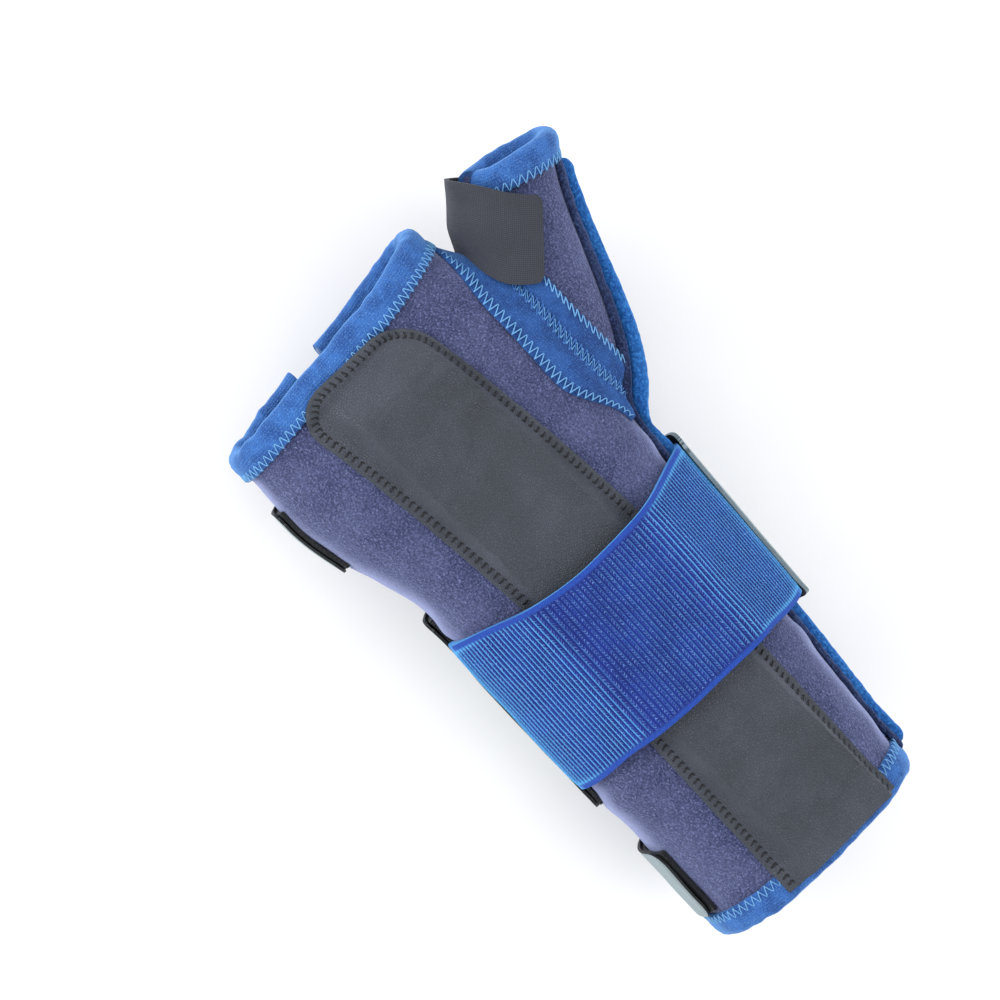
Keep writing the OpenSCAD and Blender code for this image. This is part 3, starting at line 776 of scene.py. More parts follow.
def edge_zigzag(name, at, low, high, height, stop=0.99):
    """Zigzag along an edge, between two distances inside it."""
    dense = np.linspace(0.01, stop, 300)
    middle, _ = at(mix(low, high, 0.5), dense)
    t = spaced(middle, dense, int(lengths(middle)[-1] / HALF_ZIGZAG))
    (p, n), (q, _) = at(low, t), at(high, t)
    return zigzag(name, p + height * n, q + height * n, n, pale_thread, "binding_tape")


def end_edge(end, start, stop):
    """Edge at the palm (end 1) or at the forearm hem (end -1), between two angles."""
    x_end = PALM if end > 0 else FOREARM

    def at(inset, t):
        return skin_and_normal(x_end - end * inset, mix(start(x_end), stop(x_end), t))

    return at


def long_edge(y, side):
    """Edge along the back; side is 1 for an edge that faces the little finger."""

    def at(inset, t):
        x = mix(FOREARM + 7.0, PALM - 8.0, t)
        return skin_and_normal(x, back_angle(x, y - side * inset))

    return at


def rim_edge(inset, t):
    v = mix(WEB_SLIT, 1 - WEB_SLIT, t)
    per_mm = 0.1 / np.linalg.norm(thumb_point(1.0, v) - thumb_point(0.9, v), axis=-1)
    u = 1 - inset * per_mm
    return thumb_point(u, v), thumb_normal(u, v)


for label, end in (("palm_edge", 1), ("forearm_hem", -1)):
    edge = end_edge(end, palm_start, fold_angle)
    tape = bound_edge(label + "_binding_tape", edge, 230, 41 + end, frill=0.55)
    attach(tape, "brace", label + "_binding")
    attach(edge_zigzag(label + "_zigzag", edge, 4.2, 7.4, 1.35), "brace")
    edge = end_edge(end, fold_angle, dorsal_end)
    tape = bound_edge(label + "_flap_binding_tape", edge, 30, 47 + end)
    attach(tape, FOLD, "dorsal_end_bindings")
    attach(edge_zigzag(label + "_flap_zigzag", edge, 4.2, 7.4, 1.35), FOLD)

for label, y, side, body, node in (
    ("ulnar_edge", OPENING_ULNAR_Y, -1, "brace", "ulnar_edge_binding"),
    ("flap_edge", OPENING_FLAP_Y, 1, "dorsal_flap", "dorsal_edge_binding"),
):
    tape = bound_edge(label + "_binding_tape", long_edge(y, side), 200, 53 + side, 0.75, 0.25)
    attach(tape, body, node)

attach(bound_edge("thumb_rim_binding_tape", rim_edge, 130, 61, 1.1, 0.4), "brace", "thumb_rim_binding")
attach(edge_zigzag("thumb_rim_zigzag", rim_edge, 4.4, 7.6, 1.4), "brace")


# ---------------- web strips
WEB_FROM_X, WEB_TO_X = 12.0, 73.0
PALM_WEB_TO_X = WEB_TO_X + 10
STRIP_LOW, STRIP_HIGH = 0.35, 1.4
STITCH_STEP = 1.1


def palm_web(off, t):
    """Palm-side strip of the web seam; off runs across it, away from the seam."""
    x = mix(WEB_FROM_X, PALM_WEB_TO_X, t)
    width = mix(3.5, 12.0, smooth(t / 0.35)) - 3.5 * smooth((t - 0.72) / 0.28)
    return skin_and_normal(x, mix(side_angle(x) - 0.2, palm_angle(x, web_seam_y(x) + width), off))


def web_v(x):
    """The sheath's v where its web seam passes x."""
    return 0.5 * clamp01((WEB_X - x) / (WEB_X - ROOT)) ** (1 / V_POWER)


def thumb_web_at(off, x):
    """The same on the thumb's side, for places along the seam given by x."""
    v = np.clip(web_v(x), WEB_SLIT, 0.46)
    u = 0.012 + off * 10.5 / (0.86 * thumb_reach(v))
    return thumb_point(u, v), thumb_normal(u, v)


def thumb_web_line(off, t):
    return thumb_web_at(off, mix(WEB_FROM_X + 1.5, WEB_TO_X, t))


def strip(name, line, seed, node):
    t = np.linspace(0, 1, 120)
    top, under = [], []
    for off in np.linspace(0, 1, 16):
        p, n = line(off, t)
        dome = STRIP_HIGH * (1 - max(0.0, 2 * off - 1) ** 6) + 0.3 * noise(p, 4.5, seed) * (off > 0.05)
        top.append(p + np.maximum(dome, STRIP_LOW + 0.15)[:, None] * n)
        under.append(p + STRIP_LOW * n)
    attach(sheet(name, np.stack(top, 1), np.stack(under, 1), [web_tape]), "brace", node)


def web_seam(k, material, shift, low, high):
    """Zigzag that joins the two strips."""
    x = np.arange(WEB_FROM_X + 3 + shift, WEB_TO_X - 4, STITCH_STEP)
    p, n = palm_web(low, (x - WEB_FROM_X) / (PALM_WEB_TO_X - WEB_FROM_X))
    q, m = thumb_web_at(high, x)
    a, b, normal = p + 1.3 * n, q + 1.3 * m, unit(n + m)
    attach(zigzag(f"web_seam_zigzag_{k}", a, b, normal, material, "binding_tape", arch=0.1), "brace")


def back_web_seam():
    """Zigzag that joins the thumb's back panel to the gusset."""
    lift = 0.12
    x = np.arange(ROOT + 4, WEB_TO_X - 3, STITCH_STEP)
    p, n = skin_and_normal(x, 360 - side_angle(x) + 2.2)
    v = 1 - web_v(x)
    u = 1.6 / thumb_reach(v)
    q, m = thumb_point(u, v), thumb_normal(u, v)
    a, b, normal = p + lift * n, q + lift * m, unit(n + m)
    attach(zigzag("back_web_seam_zigzag", a, b, normal, blue_thread, "loop_fabric", arch=0.1), "brace")


strip("palm_web_tape", palm_web, 71, "palm_web_strip")
strip("thumb_web_tape", thumb_web_line, 73, "thumb_web_strip")
attach(edge_zigzag("palm_web_outer_zigzag", palm_web, 0.76, 1.01, 1.2, 0.97), "brace")
attach(edge_zigzag("thumb_web_outer_zigzag", thumb_web_line, 0.74, 1.01, 1.25, 0.97), "brace")
web_seam(0, pale_thread, 0.0, 0.2, 0.16)
web_seam(1, blue_thread, 0.5, 0.26, 0.24)
back_web_seam()


# ---------------- thumb-side seam
SEAM_ANGLE, SEAM_V = 171.0, 0.47


def seam_v_at(u, off):
    """The sheath's v at a distance off round it from the seam."""
    v = SEAM_V + np.linspace(-0.09, 0.09, 181)
    s = lengths(thumb_point(u, v))
    return np.interp(s[90] + off, s, v)


def seam_stations(off, height):
    """Points down the thumb-side seam, moved sideways over the surface by off and lifted by height."""
    x = np.linspace(FOREARM + 3, 0, 10)
    over_hem = 1.3 * smooth((FOREARM + 10 - x) / 3)
    per_degree = np.linalg.norm(limb(x, SEAM_ANGLE + 0.5) - limb(x, SEAM_ANGLE - 0.5), axis=-1)
    u = np.linspace(0.05, 0.91, 16)
    v = np.array([seam_v_at(one, off) for one in u])
    on_limb = limb(x, SEAM_ANGLE + off / per_degree, height + over_hem)
    return np.concatenate([on_limb, thumb_skin(u, v, height)])


seam_s = lengths(seam_stations(0.0, 0.0))
seam_t = np.linspace(0, seam_s[-1], 380)


def seam_line(off, height):
    stations = seam_stations(off, height)
    i = np.clip(np.searchsorted(seam_s, seam_t, side="right") - 1, 0, len(seam_s) - 2)
    slope = np.gradient(stations, seam_s, axis=0)
    h = (seam_s[i + 1] - seam_s[i])[:, None]
    f = (seam_t - seam_s[i])[:, None] / h
    return hermite(stations[i], stations[i + 1], h * slope[i], h * slope[i + 1], f)


def seam_sweep(name, section, material, seed, fuzz, node):
    """Tape along the seam through a section of (sideways, height) points, tapered at both ends."""
    to_end = np.minimum(seam_t, seam_t[-1] - seam_t)[:, None]
    taper = 0.25 + 0.75 * np.sqrt(1 - (1 - clamp01(to_end / 3.5)) ** 2)
    middle_off = np.mean([off for off, _ in section])
    middle, foot = seam_line(middle_off, 0.0), seam_line(middle_off, 0.35)
    rings = []
    for off, height in section:
        p = seam_line(off, height)
        rough = fuzz * (noise(p, 1.4, seed) + 0.7 * noise(p, 5.0, seed + 1))[:, None]
        p = p + rough * unit(p - middle) * (1.0 if height > 1.0 else 0.1)
        rings.append(foot + (p - foot) * taper)
    attach(sweep(name, np.stack(rings, 1), material), "brace", node)


TAPE = ((-5.6, 0.3), (-5.7, 0.8), (-5.1, 1.4), (-3.8, 1.85), (-2.2, 1.9), (-1.1, 1.6), (-0.6, 0.9),
        (-0.7, 0.3))
PIPING = ((-0.1, 0.3), (-0.35, 1.4), (-0.3, 2.8), (0.3, 3.9), (1.3, 4.5), (2.6, 4.6), (3.8, 4.1), (4.5, 2.9),
          (4.6, 1.5), (4.4, 0.3))
seam_sweep("radial_seam_fuzzy_tape", TAPE, seam_tape_cloth, 83, 0.25, "radial_seam_tape")
seam_sweep("radial_edge_folded_piping", PIPING, piping_cloth, 89, 0.14, "radial_edge_piping")


# ---------------- splint pocket
POCKET_X0, POCKET_X1, POCKET_HALF, POCKET_CORNER = -110.7, 84.0, 21.4, 12.0
POCKET_RISE, POCKET_T, SPLINT_END = 3.3, 1.2, 62.0
CORNER_X = POCKET_X1 - POCKET_CORNER
WHIP_PITCH = 2.2
CLOTH_STEPS = 20


def pocket_reach(x):
    """Half width of the pocket, less at its rounded corners."""
    inside = np.maximum(0.6, POCKET_CORNER**2 - np.maximum(0, x - CORNER_X) ** 2)
    return np.where(x < CORNER_X, POCKET_HALF, POCKET_HALF - POCKET_CORNER + np.sqrt(inside))


def pocket_mouth(x):
    return 1 - smooth((x - POCKET_X0) / 14)


def over_binding(x, y):
    hem = 1 - smooth((x - FOREARM - BINDING_LEG - 0.5) / 3)
    palm = smooth((x - palm_edge_x(palmar_angle(x, y)) + BINDING_LEG + 3.5) / 3)
    return 1.45 * (hem + palm)


def pocket_swell(x, y, inner):
    """1 over the splint, which lies a little askew, and 0 on the stitched margin."""
    off_splint = np.abs(y - 5.84 - 0.052 * (x - SPLINT_END))
    across = (1 - smooth((off_splint - 15.0) / 3.9)) * (1 - smooth((inner - 17.9) / 2.2))
    return across * (1 - smooth((x - SPLINT_END - 0.5) / 18))


def pocket_floor(x, y, inner):
    """Height of the cover's underside; inner is the distance from the pocket's middle line."""
    margin = palm_z(x, y) + 0.45 + over_binding(x, y)
    raised = np.maximum(palm_z(x, y), 26.0) + POCKET_RISE
    lifted_corner = 1.2 * smooth(((pocket_centre(x) - y) / POCKET_HALF - 0.7) / 0.3) * pocket_mouth(x)
    return mix(margin, raised, pocket_swell(x, y, inner)) + lifted_corner


def puffed(top, hold):
    """Movement of the cover in a cloth simulation that blows it up, held where hold is 1."""
    n, m = top.shape[:2]
    obj = add_object("puff", top, quads(n, m))
    group = obj.vertex_groups.new(name="held")
    for i, weight in enumerate(hold.ravel()):
        if weight > 0.02:
            group.add([i], float(weight), "REPLACE")
    cloth = obj.modifiers.new("Cloth", "CLOTH")
    settings = dict(vertex_group_mass="held", quality=6, mass=0.15, tension_stiffness=12, shear_stiffness=6,
                    compression_stiffness=12, bending_stiffness=0.6, shrink_min=-0.035, use_pressure=True,
                    uniform_pressure_force=4.0)
    for key, value in settings.items():
        setattr(cloth.settings, key, value)
    cloth.settings.effector_weights.gravity = 0
    cloth.point_cache.frame_start = 1
    cloth.point_cache.frame_end = CLOTH_STEPS
    scene = bpy.context.scene
    for step in range(1, CLOTH_STEPS + 1):
        scene.frame_set(step)
    evaluated = obj.evaluated_get(bpy.context.evaluated_depsgraph_get())
    flat = np.zeros(n * m * 3)
    evaluated.to_mesh().vertices.foreach_get("co", flat)
    evaluated.to_mesh_clear()
    scene.frame_set(1)
    bpy.data.objects.remove(obj)
    return flat.reshape(n, m, 3) / MM - top


def pocket_piece():
    e = np.linspace(-1, 1, 90)
    x = np.concatenate([np.linspace(POCKET_X0, 66, 150), np.linspace(66.5, POCKET_X1 - 0.05, 26)])
    x, e = np.meshgrid(x, e, indexing="ij")
    y = pocket_centre(x) + e * pocket_reach(x)
    inner = np.abs(e) * POCKET_HALF
    under = np.stack([x, y, pocket_floor(x, y, inner)], -1)
    loose = pocket_swell(x, y, inner) * (1 - strap_press(x))
    quilt = 0.1 * np.sin(x / 0.62) * smooth((inner - 18.2) / 1.2) * (1 - pocket_mouth(x))
    ripple = 0.28 * noise(under, 13.0, 95) + 0.12 * noise(under, 6.0, 96)
    top = under.copy()
    top[..., 2] += POCKET_T + quilt + ripple * loose
    free = loose * (1 - smooth((8 - x + POCKET_X0) / 8))
    top[..., 2] += np.clip(puffed(top, 1 - free)[..., 2], -0.1, 1.7) * free
    piece = sheet("splint_pocket_cover", top, under, [pocket_cover, lining])
    attach(piece, "brace", "splint_pocket")


def pocket_stitches():
    """Short threads across the margin and a line inside it, down both sides and round the far end."""
    turn = np.radians(np.linspace(0, 90, 40))
    x = np.append(np.linspace(POCKET_X0 + 2, CORNER_X, 300), CORNER_X + POCKET_CORNER * np.sin(turn))
    out = np.append(np.full(300, POCKET_HALF), POCKET_HALF - POCKET_CORNER * (1 - np.cos(turn)))
    one_side = np.stack([x, out], -1)
    path = np.concatenate([one_side, (one_side * [1, -1])[::-1]])
    p = rows_at(path, evenly(path, WHIP_PITCH))
    along = unit(np.gradient(p, axis=0))
    inward = np.stack([along[:, 1], -along[:, 0]], -1)
    margin_line = p + 2.8 * inward

    def on_cover(flat):
        x, y = flat[:, 0], pocket_centre(flat[:, 0]) + flat[:, 1]
        inner = np.abs(flat[:, 1]) / np.maximum(pocket_reach(x), 1.0) * POCKET_HALF
        return np.stack([x, y, pocket_floor(x, y, inner) + POCKET_T], -1)

    def sew(name, a, b, radius, arch):
        a, b, up = on_cover(a), on_cover(b), np.tile([0.0, 0.0, 1.0], (len(p), 1))
        attach(threads(name, a, b, up, radius, black_thread, "grained_leatherette", arch, 0.25), "brace")

    sew("splint_pocket_whip_stitches", p + 0.9 * inward, margin_line + 0.5 * along, 0.25, 0.12)
    sew("splint_pocket_run_stitches", margin_line - 0.5 * along, margin_line + 0.6 * along, 0.2, 0.05)


pocket_piece()
pocket_stitches()


# ---------------- straps and tabs
POCKET_TOP = 26 + POCKET_RISE + POCKET_T
STATIONS = 720
TAB_PITCH = 2.2


def strap_loop(x):
    """Smooth closed line of (y, z) under the strap at x, from the little-finger side over the palm."""
    angles = np.arange(-176, 181, 4.0)
    halfway = [mix(STRAP_X - STRAP_HALF, x, 0.5), mix(STRAP_X + STRAP_HALF, x, 0.5)]
    outlines = [limb(at_x, angles, 0.3)[:, 1:] for at_x in (x, *halfway)]
    pipe = -radial_half(halfway[1]) - 4.2
    y = np.linspace(-20, 20, 11)
    over_pocket = np.stack([y, POCKET_TOP + 0.5 + 1.2 * (1 - (y / 20) ** 2)], -1)
    points = np.concatenate([*outlines, over_pocket, [[pipe, 0.8], [pipe, 5.8]]])
    ring = points[convex_hull_2d(points.tolist())]
    ring = np.roll(ring, -np.argmin(np.abs(np.arctan2(ring[:, 1], ring[:, 0]))), axis=0)
    closed = np.concatenate([ring, ring[:1]])
    s = lengths(closed)
    t = np.linspace(0, s[-1], STATIONS + 1)[:-1]
    line = np.stack([np.interp(t, s, closed[:, k]) for k in (0, 1)], -1)
    window = np.hanning(61)
    padded = np.concatenate([line[-30:], line, line[:30]])
    return np.stack([np.convolve(padded[:, k], window / window.sum(), "valid") for k in (0, 1)], -1)


strap_rows = np.linspace(STRAP_X - STRAP_HALF, STRAP_X + STRAP_HALF, 57)
strap_rings = np.stack([strap_loop(x) for x in strap_rows])
tangent = unit(np.roll(strap_rings, -1, 1) - np.roll(strap_rings, 1, 1))
strap_out = np.stack([tangent[..., 1], -tangent[..., 0]], -1)
middle_ring = strap_rings[len(strap_rings) // 2]
loop_length = lengths(np.concatenate([middle_ring, middle_ring[:1]]))


def station(y, z):
    """Number of the strap loop's point closest to a place in the middle row."""
    return int(np.argmin(np.linalg.norm(middle_ring - [y, z], axis=1)))


def strap_x(y, z):
    """The stretched webbing is narrower over the palm, and runs a little askew on the little-finger side."""
    from_middle = strap_rows[:, None] - STRAP_X
    on_palm = smooth((z - 6) / 22) * (1 - (y / 46) ** 2)
    drawn_in = on_palm * (1.15 - 3.35 * from_middle / STRAP_HALF)
    return strap_rows[:, None] + (drawn_in + 3.5 * smooth((y - 2) / 36))


def strap_points(stations, lift):
    """Grid of points at fractional stations of the loop, lifted off it."""
    i = np.floor(stations).astype(int) % STATIONS
    f = (stations - np.floor(stations))[None, :, None]
    after = (i + 1) % STATIONS
    ring = strap_rings[:, i] * (1 - f) + strap_rings[:, after] * f
    out = unit(strap_out[:, i] * (1 - f) + strap_out[:, after] * f)
    flat = ring + out * np.asarray(lift)[..., None]
    return np.stack([strap_x(ring[..., 0], ring[..., 1]), flat[..., 0], flat[..., 1]], -1)


at_anchor = station(38.5, -2.4)
at_top = station(0.0, 33.0) + STATIONS
at_tip = station(-33.0, -14.5) + STATIONS


def webbing(name, start, stop, where, *nodes):
    """Ribbed webbing between two stations, with its columns on the ribs' own spacing."""
    s = np.concatenate([loop_length[:-1], loop_length[-1] + loop_length[:-1]])
    step = RIB_PITCH / 6
    first, last = math.floor((s[start] - s[at_top]) / step), math.ceil((s[stop] - s[at_top]) / step)
    distance = np.arange(first, last + 1) * step
    stations = np.interp(distance + s[at_top], s, np.arange(len(s)))
    across = strap_rows - strap_rows[0]
    body = (smooth((across - 1.7) / 0.8) * smooth((STRAP_W - 1.7 - across) / 0.8))[:, None]
    rib = 0.5 + 0.5 * np.cos(2 * np.pi * distance / RIB_PITCH)
    edge_dip = 0.35 * (np.abs(strap_rows - STRAP_X) / STRAP_HALF)[:, None] ** 8
    base = strap_points(stations, 2.0)
    side_bulge = 1.1 * np.exp(-(((base[..., 2] - 3.5) / 5.0) ** 2)) * (base[..., 1] > 0)
    uneven = 0.22 * noise(base, 11.0, 101) + side_bulge
    lift = 2.15 + 0.42 * rib * body + 0.3 * (1 - body) - edge_dip + uneven
    top, under = strap_points(stations, lift), strap_points(stations, 0.75)
    attach(sheet(name, top, under, [elastic], uv=weave_uv(distance, across)), where, *nodes)


palm_fold = ("brace", "wrist_strap_body", (-0.028, 0.04, -0.0026), (-0.028, 0.04, 0.0022))
tip_fold = ("wrist_strap_body", "wrist_strap_grip", (-0.028, -0.046, 0.0125), (-0.028, -0.046, 0.0045))
webbing("wrist_strap_webbing", at_anchor, at_top, palm_fold, "wrist_strap", "wrist_strap_anchor")
webbing("wrist_strap_pull", at_top, at_tip, tip_fold, "wrist_strap_end")


def grid_normals(grid):
    return unit(np.cross(np.gradient(grid, axis=1), np.gradient(grid, axis=0)))


def strap_tab():
    """Grey hook tab sewn over the webbing's end, a little wider than it, with rounded corners."""
    start, stop = station(-45.3, 7.6) + STATIONS, station(-20.5, -22.0) + STATIONS
    t = np.linspace(0, 1, 70)
    stations = np.linspace(start, stop, 70)
    to_end = np.minimum(t, 1 - t) * (stop - start) / STATIONS * loop_length[-1]
    scale = (STRAP_HALF + 3 - rounded_end(to_end, 7.0)) / STRAP_HALF
    top, low = strap_points(stations, 3.9), strap_points(stations, 2.8)
    for grid in (top, low):
        grid[..., 0] = STRAP_X + (grid[..., 0] - STRAP_X) * scale
    top += 0.15 * noise(top, 9.0, 107)[..., None] * grid_normals(top)
    tab = sheet("wrist_strap_grey_tab", top, low, [tab_cloth, hooks])
    attach(tab, "wrist_strap_grip", "wrist_strap_tab")
    stations = np.linspace(station(-37.5, -12.0) + STATIONS, stop + 1, 40)
    pad_top, pad_low = strap_points(stations, 2.75), strap_points(stations, 0.9)
    pad = sheet("wrist_strap_hook_pad", pad_top, pad_low, [hooks])
    attach(pad, "wrist_strap_grip", "wrist_strap_hook")
    normals = grid_normals(top)
    for k, row in enumerate((2, len(strap_rows) - 3)):
        line, normal = top[row][6:-6], normals[row][6:-6]
        t = evenly(line, TAB_PITCH)
        n = unit(rows_at(-np.sign(normal[:, 1].mean()) * normal, t))
        name = f"wrist_strap_tab_stitches_{k}"
        attach(dashes(name, rows_at(line, t), n, 0.2, grey_thread, "tab_backing", 0.15), "wrist_strap_grip")


strap_tab()

TAB_BASE_Y, TAB_LOW, TAB_T, HOOK_Y = -10.0, 1.6, 0.9, 26.4
TAB_CORNER, TAB_SEAM_IN, TAB_BASE_SEAM_Y = 4.5, 2.2, TAB_BASE_Y + 1.5


def hook_tab(name, x0, x1, z_end, seed):
    """A hook tab: sewn to the flap, over the opening, and pressed on the little-finger side."""
    x = np.linspace(x0, x1, 26)
    start = back_angle(x, TAB_BASE_Y) - 360
    a = mix(start[:, None], ulnar_angle(x, z_end)[:, None], np.linspace(0, 1, 90))
    reach = lengths(skin(x[:, None], a)[13])
    to_end = reach[-1] - reach
    half, centre = (x1 - x0) / 2, (x0 + x1) / 2
    xx = centre + (x[:, None] - centre) * (1 - rounded_end(to_end, TAB_CORNER) / half)
    base = skin(xx, a)
    curl = 0.9 * smooth((6 - to_end) / 6) * (0.6 + 0.4 * noise(base, 12.0, seed))
    top = skin(xx, a, TAB_LOW + TAB_T + 0.15 * noise(base, 8.0, seed) + curl)
    low = skin(xx, a, TAB_LOW + curl + 0.02)
    tab = sheet(f"{name}_backing", top, low, [tab_cloth, hooks], rim_material=1)
    height = float(np.mean(skin(x, start, 2.0)[:, 2])) * MM
    body = name + "_end"
    fold = ((centre * MM, -0.0007, height), (centre * MM, 0.0021, height))
    attach(tab, ("dorsal_flap", body, *fold), name, "tab_sewn_bases")

    # Hook layer under the free end, its edge cut in fine teeth.
    x = np.linspace(x0 + 1.0, x1 - 1.0, 60)
    teeth = 1.08 * np.abs(np.mod(np.arange(60) / 3.0, 1) - 0.5)
    start, end = back_angle(x, HOOK_Y) - 360, ulnar_angle(x, z_end + 0.8) + teeth
    a = mix(start[:, None], end[:, None], np.linspace(0, 1, 40))
    top, low = skin(x[:, None], a, TAB_LOW), skin(x[:, None], a, 0.45)
    attach(sheet(f"{name}_hook_layer", top, low, [hooks]), body, name + "_hook")

    # Three lines of stitches where the tab is sewn to the flap.
    lines = []
    for x in (x0 + TAB_SEAM_IN, x1 - TAB_SEAM_IN):
        lines.append((x, np.linspace(back_angle(x, TAB_BASE_SEAM_Y), back_angle(x, -1.5), 9)))
    x = np.linspace(x0 + TAB_SEAM_IN, x1 - TAB_SEAM_IN, int((x1 - x0) / 1.6) // 2 * 2)
    lines.append((x, back_angle(x, TAB_BASE_SEAM_Y)))
    for k, (x, a) in enumerate(lines):
        p, n = skin_and_normal(x, a)
        p = p + (TAB_LOW + TAB_T + 0.1) * n
        stitches = dashes(f"{name}_base_stitches_{k}", p, n, 0.2, grey_thread, "tab_backing", 0.12)
        attach(stitches, "dorsal_flap")


hook_tab("hand_tab", 44.0, 71.0, 3.0, 113)
hook_tab("wrist_tab", -60.0, 17.0, -2.8, 127)
hook_tab("forearm_tab", -104.0, -78.0, 9.0, 131)


# ---------------- thumb strap
SKEW = math.radians(40)
ring_dir = unit(np.array([math.cos(SKEW), -math.sin(SKEW), thumb_dir[2]]))
ring_web = np.array([math.sin(SKEW), math.cos(SKEW), 0.0])
ring_palmar = np.cross(ring_dir, ring_web)
ring_centre = thumb_centre - 15 * thumb_dir - 2 * ring_web + ring_palmar
RING_W, RING_D, THUMB_STRAP_HALF, THUMB_STRAP_END = 17.8, 16.8, 12.0, 92.5


def on_ring(across, angle, lift):
    """Points round the thumb. The band winds towards the wrist, and its lower edge is drawn in at the web."""
    c, s = np.cos(np.radians(angle)), np.sin(np.radians(angle))
    lower = smooth(-across / THUMB_STRAP_HALF)
    along = across - 3.0 - 4.4 * smooth((angle - 15) / 80) - 1.6 * lower * np.exp(-(((angle - 68) / 26) ** 2))
    to_web = (RING_W + lift - 3.0 * lower * clamp01(c)) * signed_pow(c, POWER)
    to_palm = (RING_D + lift) * signed_pow(s, POWER)
    return (ring_centre + along[..., None] * ring_dir + to_web[..., None] * ring_web
            + to_palm[..., None] * ring_palmar)


def thumb_strap():
    angle = np.linspace(-88, THUMB_STRAP_END, 110)
    across = np.linspace(-THUMB_STRAP_HALF, THUMB_STRAP_HALF, 40)[:, None]
    reach = lengths(on_ring(0.0, angle, 2.0))
    spread = across * (1 - rounded_end(reach[-1] - reach, 2.0) / THUMB_STRAP_HALF)
    web_curl = smooth((across - 5) / 7) * np.exp(-(((angle - 22) / 20) ** 2))
    flex = 0.3 * noise(on_ring(spread, angle, 2.0), 9.0, 139) + 3.2 * web_curl
    top, low = on_ring(spread, angle, 3.0 + flex), on_ring(spread, angle, 1.65 + flex)
    band = sheet("thumb_strap_band", top, low, [strap_cloth, hooks])
    hinge = math.radians(57.5)
    p = ring_centre + 19 * (math.cos(hinge) * ring_web + math.sin(hinge) * ring_palmar)
    t = math.cos(hinge) * ring_palmar - math.sin(hinge) * ring_web
    fold = (Vector((p - 2.5 * t) * MM), Vector((p + 2.5 * t) * MM))
    attach(band, ("brace", "thumb_strap_end", *fold), "thumb_strap", "thumb_strap_anchor")
    angle = np.linspace(66, THUMB_STRAP_END - 1, 30)
    across = np.linspace(-10.2, 10.2, 20)[:, None]
    top, low = on_ring(across, angle, 1.62), on_ring(across, angle, 0.4)
    pad = sheet("thumb_strap_hook_pad", top, low, [hooks])
    attach(pad, "thumb_strap_end", "thumb_strap_hook")


thumb_strap()


# ---------------- thumb stay and its sleeve
def stay_sleeve():
    """Flat sleeve round the stay, closed near the wrist and open at the thumb's rim."""
    rim_end, closed_end = thumb_skin(0.98, STAY_V, 0.9), thumb_skin(0.3, STAY_V, 0.9)
    along = unit(rim_end - closed_end)
    side = unit(np.cross(thumb_normal(0.7, STAY_V), along))
    up = np.cross(along, side)
    length = np.linalg.norm(rim_end - closed_end) - BINDING_LEG
    turn = np.linspace(0, 2 * np.pi, 40, endpoint=False)

    def ring(s, half_w, low, high, swell=0.0):
        w = half_w * signed_pow(np.cos(turn), 0.45)
        h = mix(low, high, 0.5 + 0.5 * signed_pow(np.sin(turn), 0.45)) + np.where(np.sin(turn) > 0, swell, 0)
        return closed_end + s * along + w[:, None] * side + h[:, None] * up

    rings = []
    for s in np.linspace(0, length, 50):
        shut = smooth((1.2 - s) / 1.2)
        rings.append(ring(s, 5.0 - 0.8 * shut, 0.02, 3.2 - 0.7 * shut, 0.25 * math.sin(s / 3.1)))
    rings += [ring(s, 4.3, 1.2, 2.5) for s in np.linspace(length - 0.05, 0.7, 20)]
    sleeve = sweep("thumb_stay_sleeve", np.stack(rings), sleeve_cloth)
    attach(sleeve, "brace", "thumb_stay_pocket")
    s = np.arange(2, length - 1, STITCH_STEP)[:, None]
    for k, sign in enumerate((-1, 1)):
        line = closed_end + s * along + sign * 4.6 * side + 2.75 * up
        n = np.tile(unit(up + 0.5 * sign * side), (len(s), 1))
        name = f"thumb_stay_sleeve_stitches_{k}"
        attach(dashes(name, line, n, 0.17, blue_thread, "sleeve_fabric", 0.1), "brace")


stay_sleeve()
for node in ("palmar_splint", "thumb_stay"):
    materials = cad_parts[node].data.materials
    materials.clear()
    materials.append(metal)


# ---------------- floor, light and camera
def floor():
    z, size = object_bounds()[0][2] / MM - 12, 3000
    corners = [(-size, -size, z), (size, -size, z), (size, size, z), (-size, size, z)]
    obj = add_object("floor", corners, [range(4)])
    g = Graph("Pale floor", (246, 246, 247))
    g.lay((250, 250, 251), g.noise(60.0), 0.3, 0.7)
    g.bump(0.02, g.noise(1.5))
    obj.data.materials.append(g.finish(0.7, specular=0.1))
    obj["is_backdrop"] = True


floor()

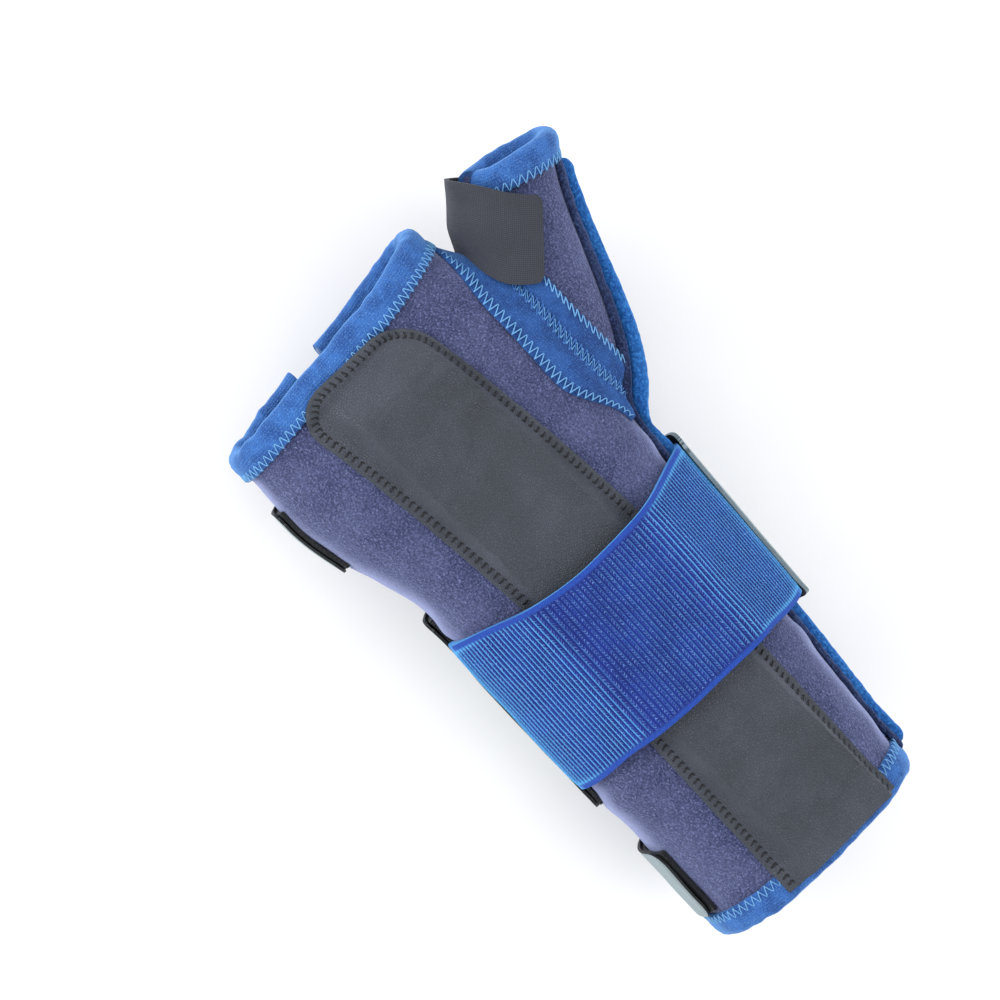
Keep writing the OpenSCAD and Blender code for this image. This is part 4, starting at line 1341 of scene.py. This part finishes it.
VIEW_FROM = unit(np.array([math.sin(math.radians(8)), math.sin(math.radians(10.5)), 0.973]))
ROLL = math.radians(46.8)
IMAGE_RIGHT = np.array([-math.cos(ROLL), -math.sin(ROLL), 0.0])
IMAGE_RIGHT = unit(IMAGE_RIGHT - (IMAGE_RIGHT @ VIEW_FROM) * VIEW_FROM)
IMAGE_UP = np.cross(VIEW_FROM, IMAGE_RIGHT)
FRAME_WIDTH, DISTANCE, SENSOR = 278.0, 1000.0, 36.0
WRIST_ON_POCKET = np.array([0.0, 0.0, 28.0])
aim = WRIST_ON_POCKET - 23.0 * IMAGE_RIGHT + 15.3 * IMAGE_UP


def camera():
    data = bpy.data.cameras.new("camera")
    data.sensor_width = SENSOR
    data.lens = SENSOR * DISTANCE / FRAME_WIDTH
    data.clip_start, data.clip_end = 0.01, 10
    turn = Matrix([IMAGE_RIGHT, IMAGE_UP, VIEW_FROM]).transposed().to_4x4()
    turn.translation = Vector((aim + DISTANCE * VIEW_FROM) * MM)
    obj = new_object("camera", data)
    obj.matrix_world = turn
    bpy.context.scene.camera = obj


camera()


def softbox(name, right, up, toward, size, power, colour):
    """Square light, placed relative to the picture in metres and aimed at the wrist."""
    data = bpy.data.lights.new(name, "AREA")
    data.shape, data.size, data.energy, data.color = "SQUARE", size, power, colour
    obj = new_object(name, data)
    obj.location = Vector(right * IMAGE_RIGHT + up * IMAGE_UP + toward * VIEW_FROM)
    obj.rotation_euler = (-obj.location).to_track_quat("-Z", "Y").to_euler()


softbox("key", -0.9, 0.15, 0.75, 0.6, 9.0, (1.0, 0.99, 0.98))
softbox("fill", 0.8, -0.3, 0.7, 0.8, 3.5, (0.95, 0.97, 1.0))
softbox("rim", 0.45, 0.9, 0.12, 0.5, 2.5, (0.92, 0.96, 1.0))
world = bpy.data.worlds.new("studio")
world.use_nodes = True
world.node_tree.nodes["Background"].inputs[0].default_value = (1, 1, 1, 1)
world.node_tree.nodes["Background"].inputs[1].default_value = 0.95
bpy.context.scene.world = world
bpy.context.scene.view_settings.view_transform = "Standard"
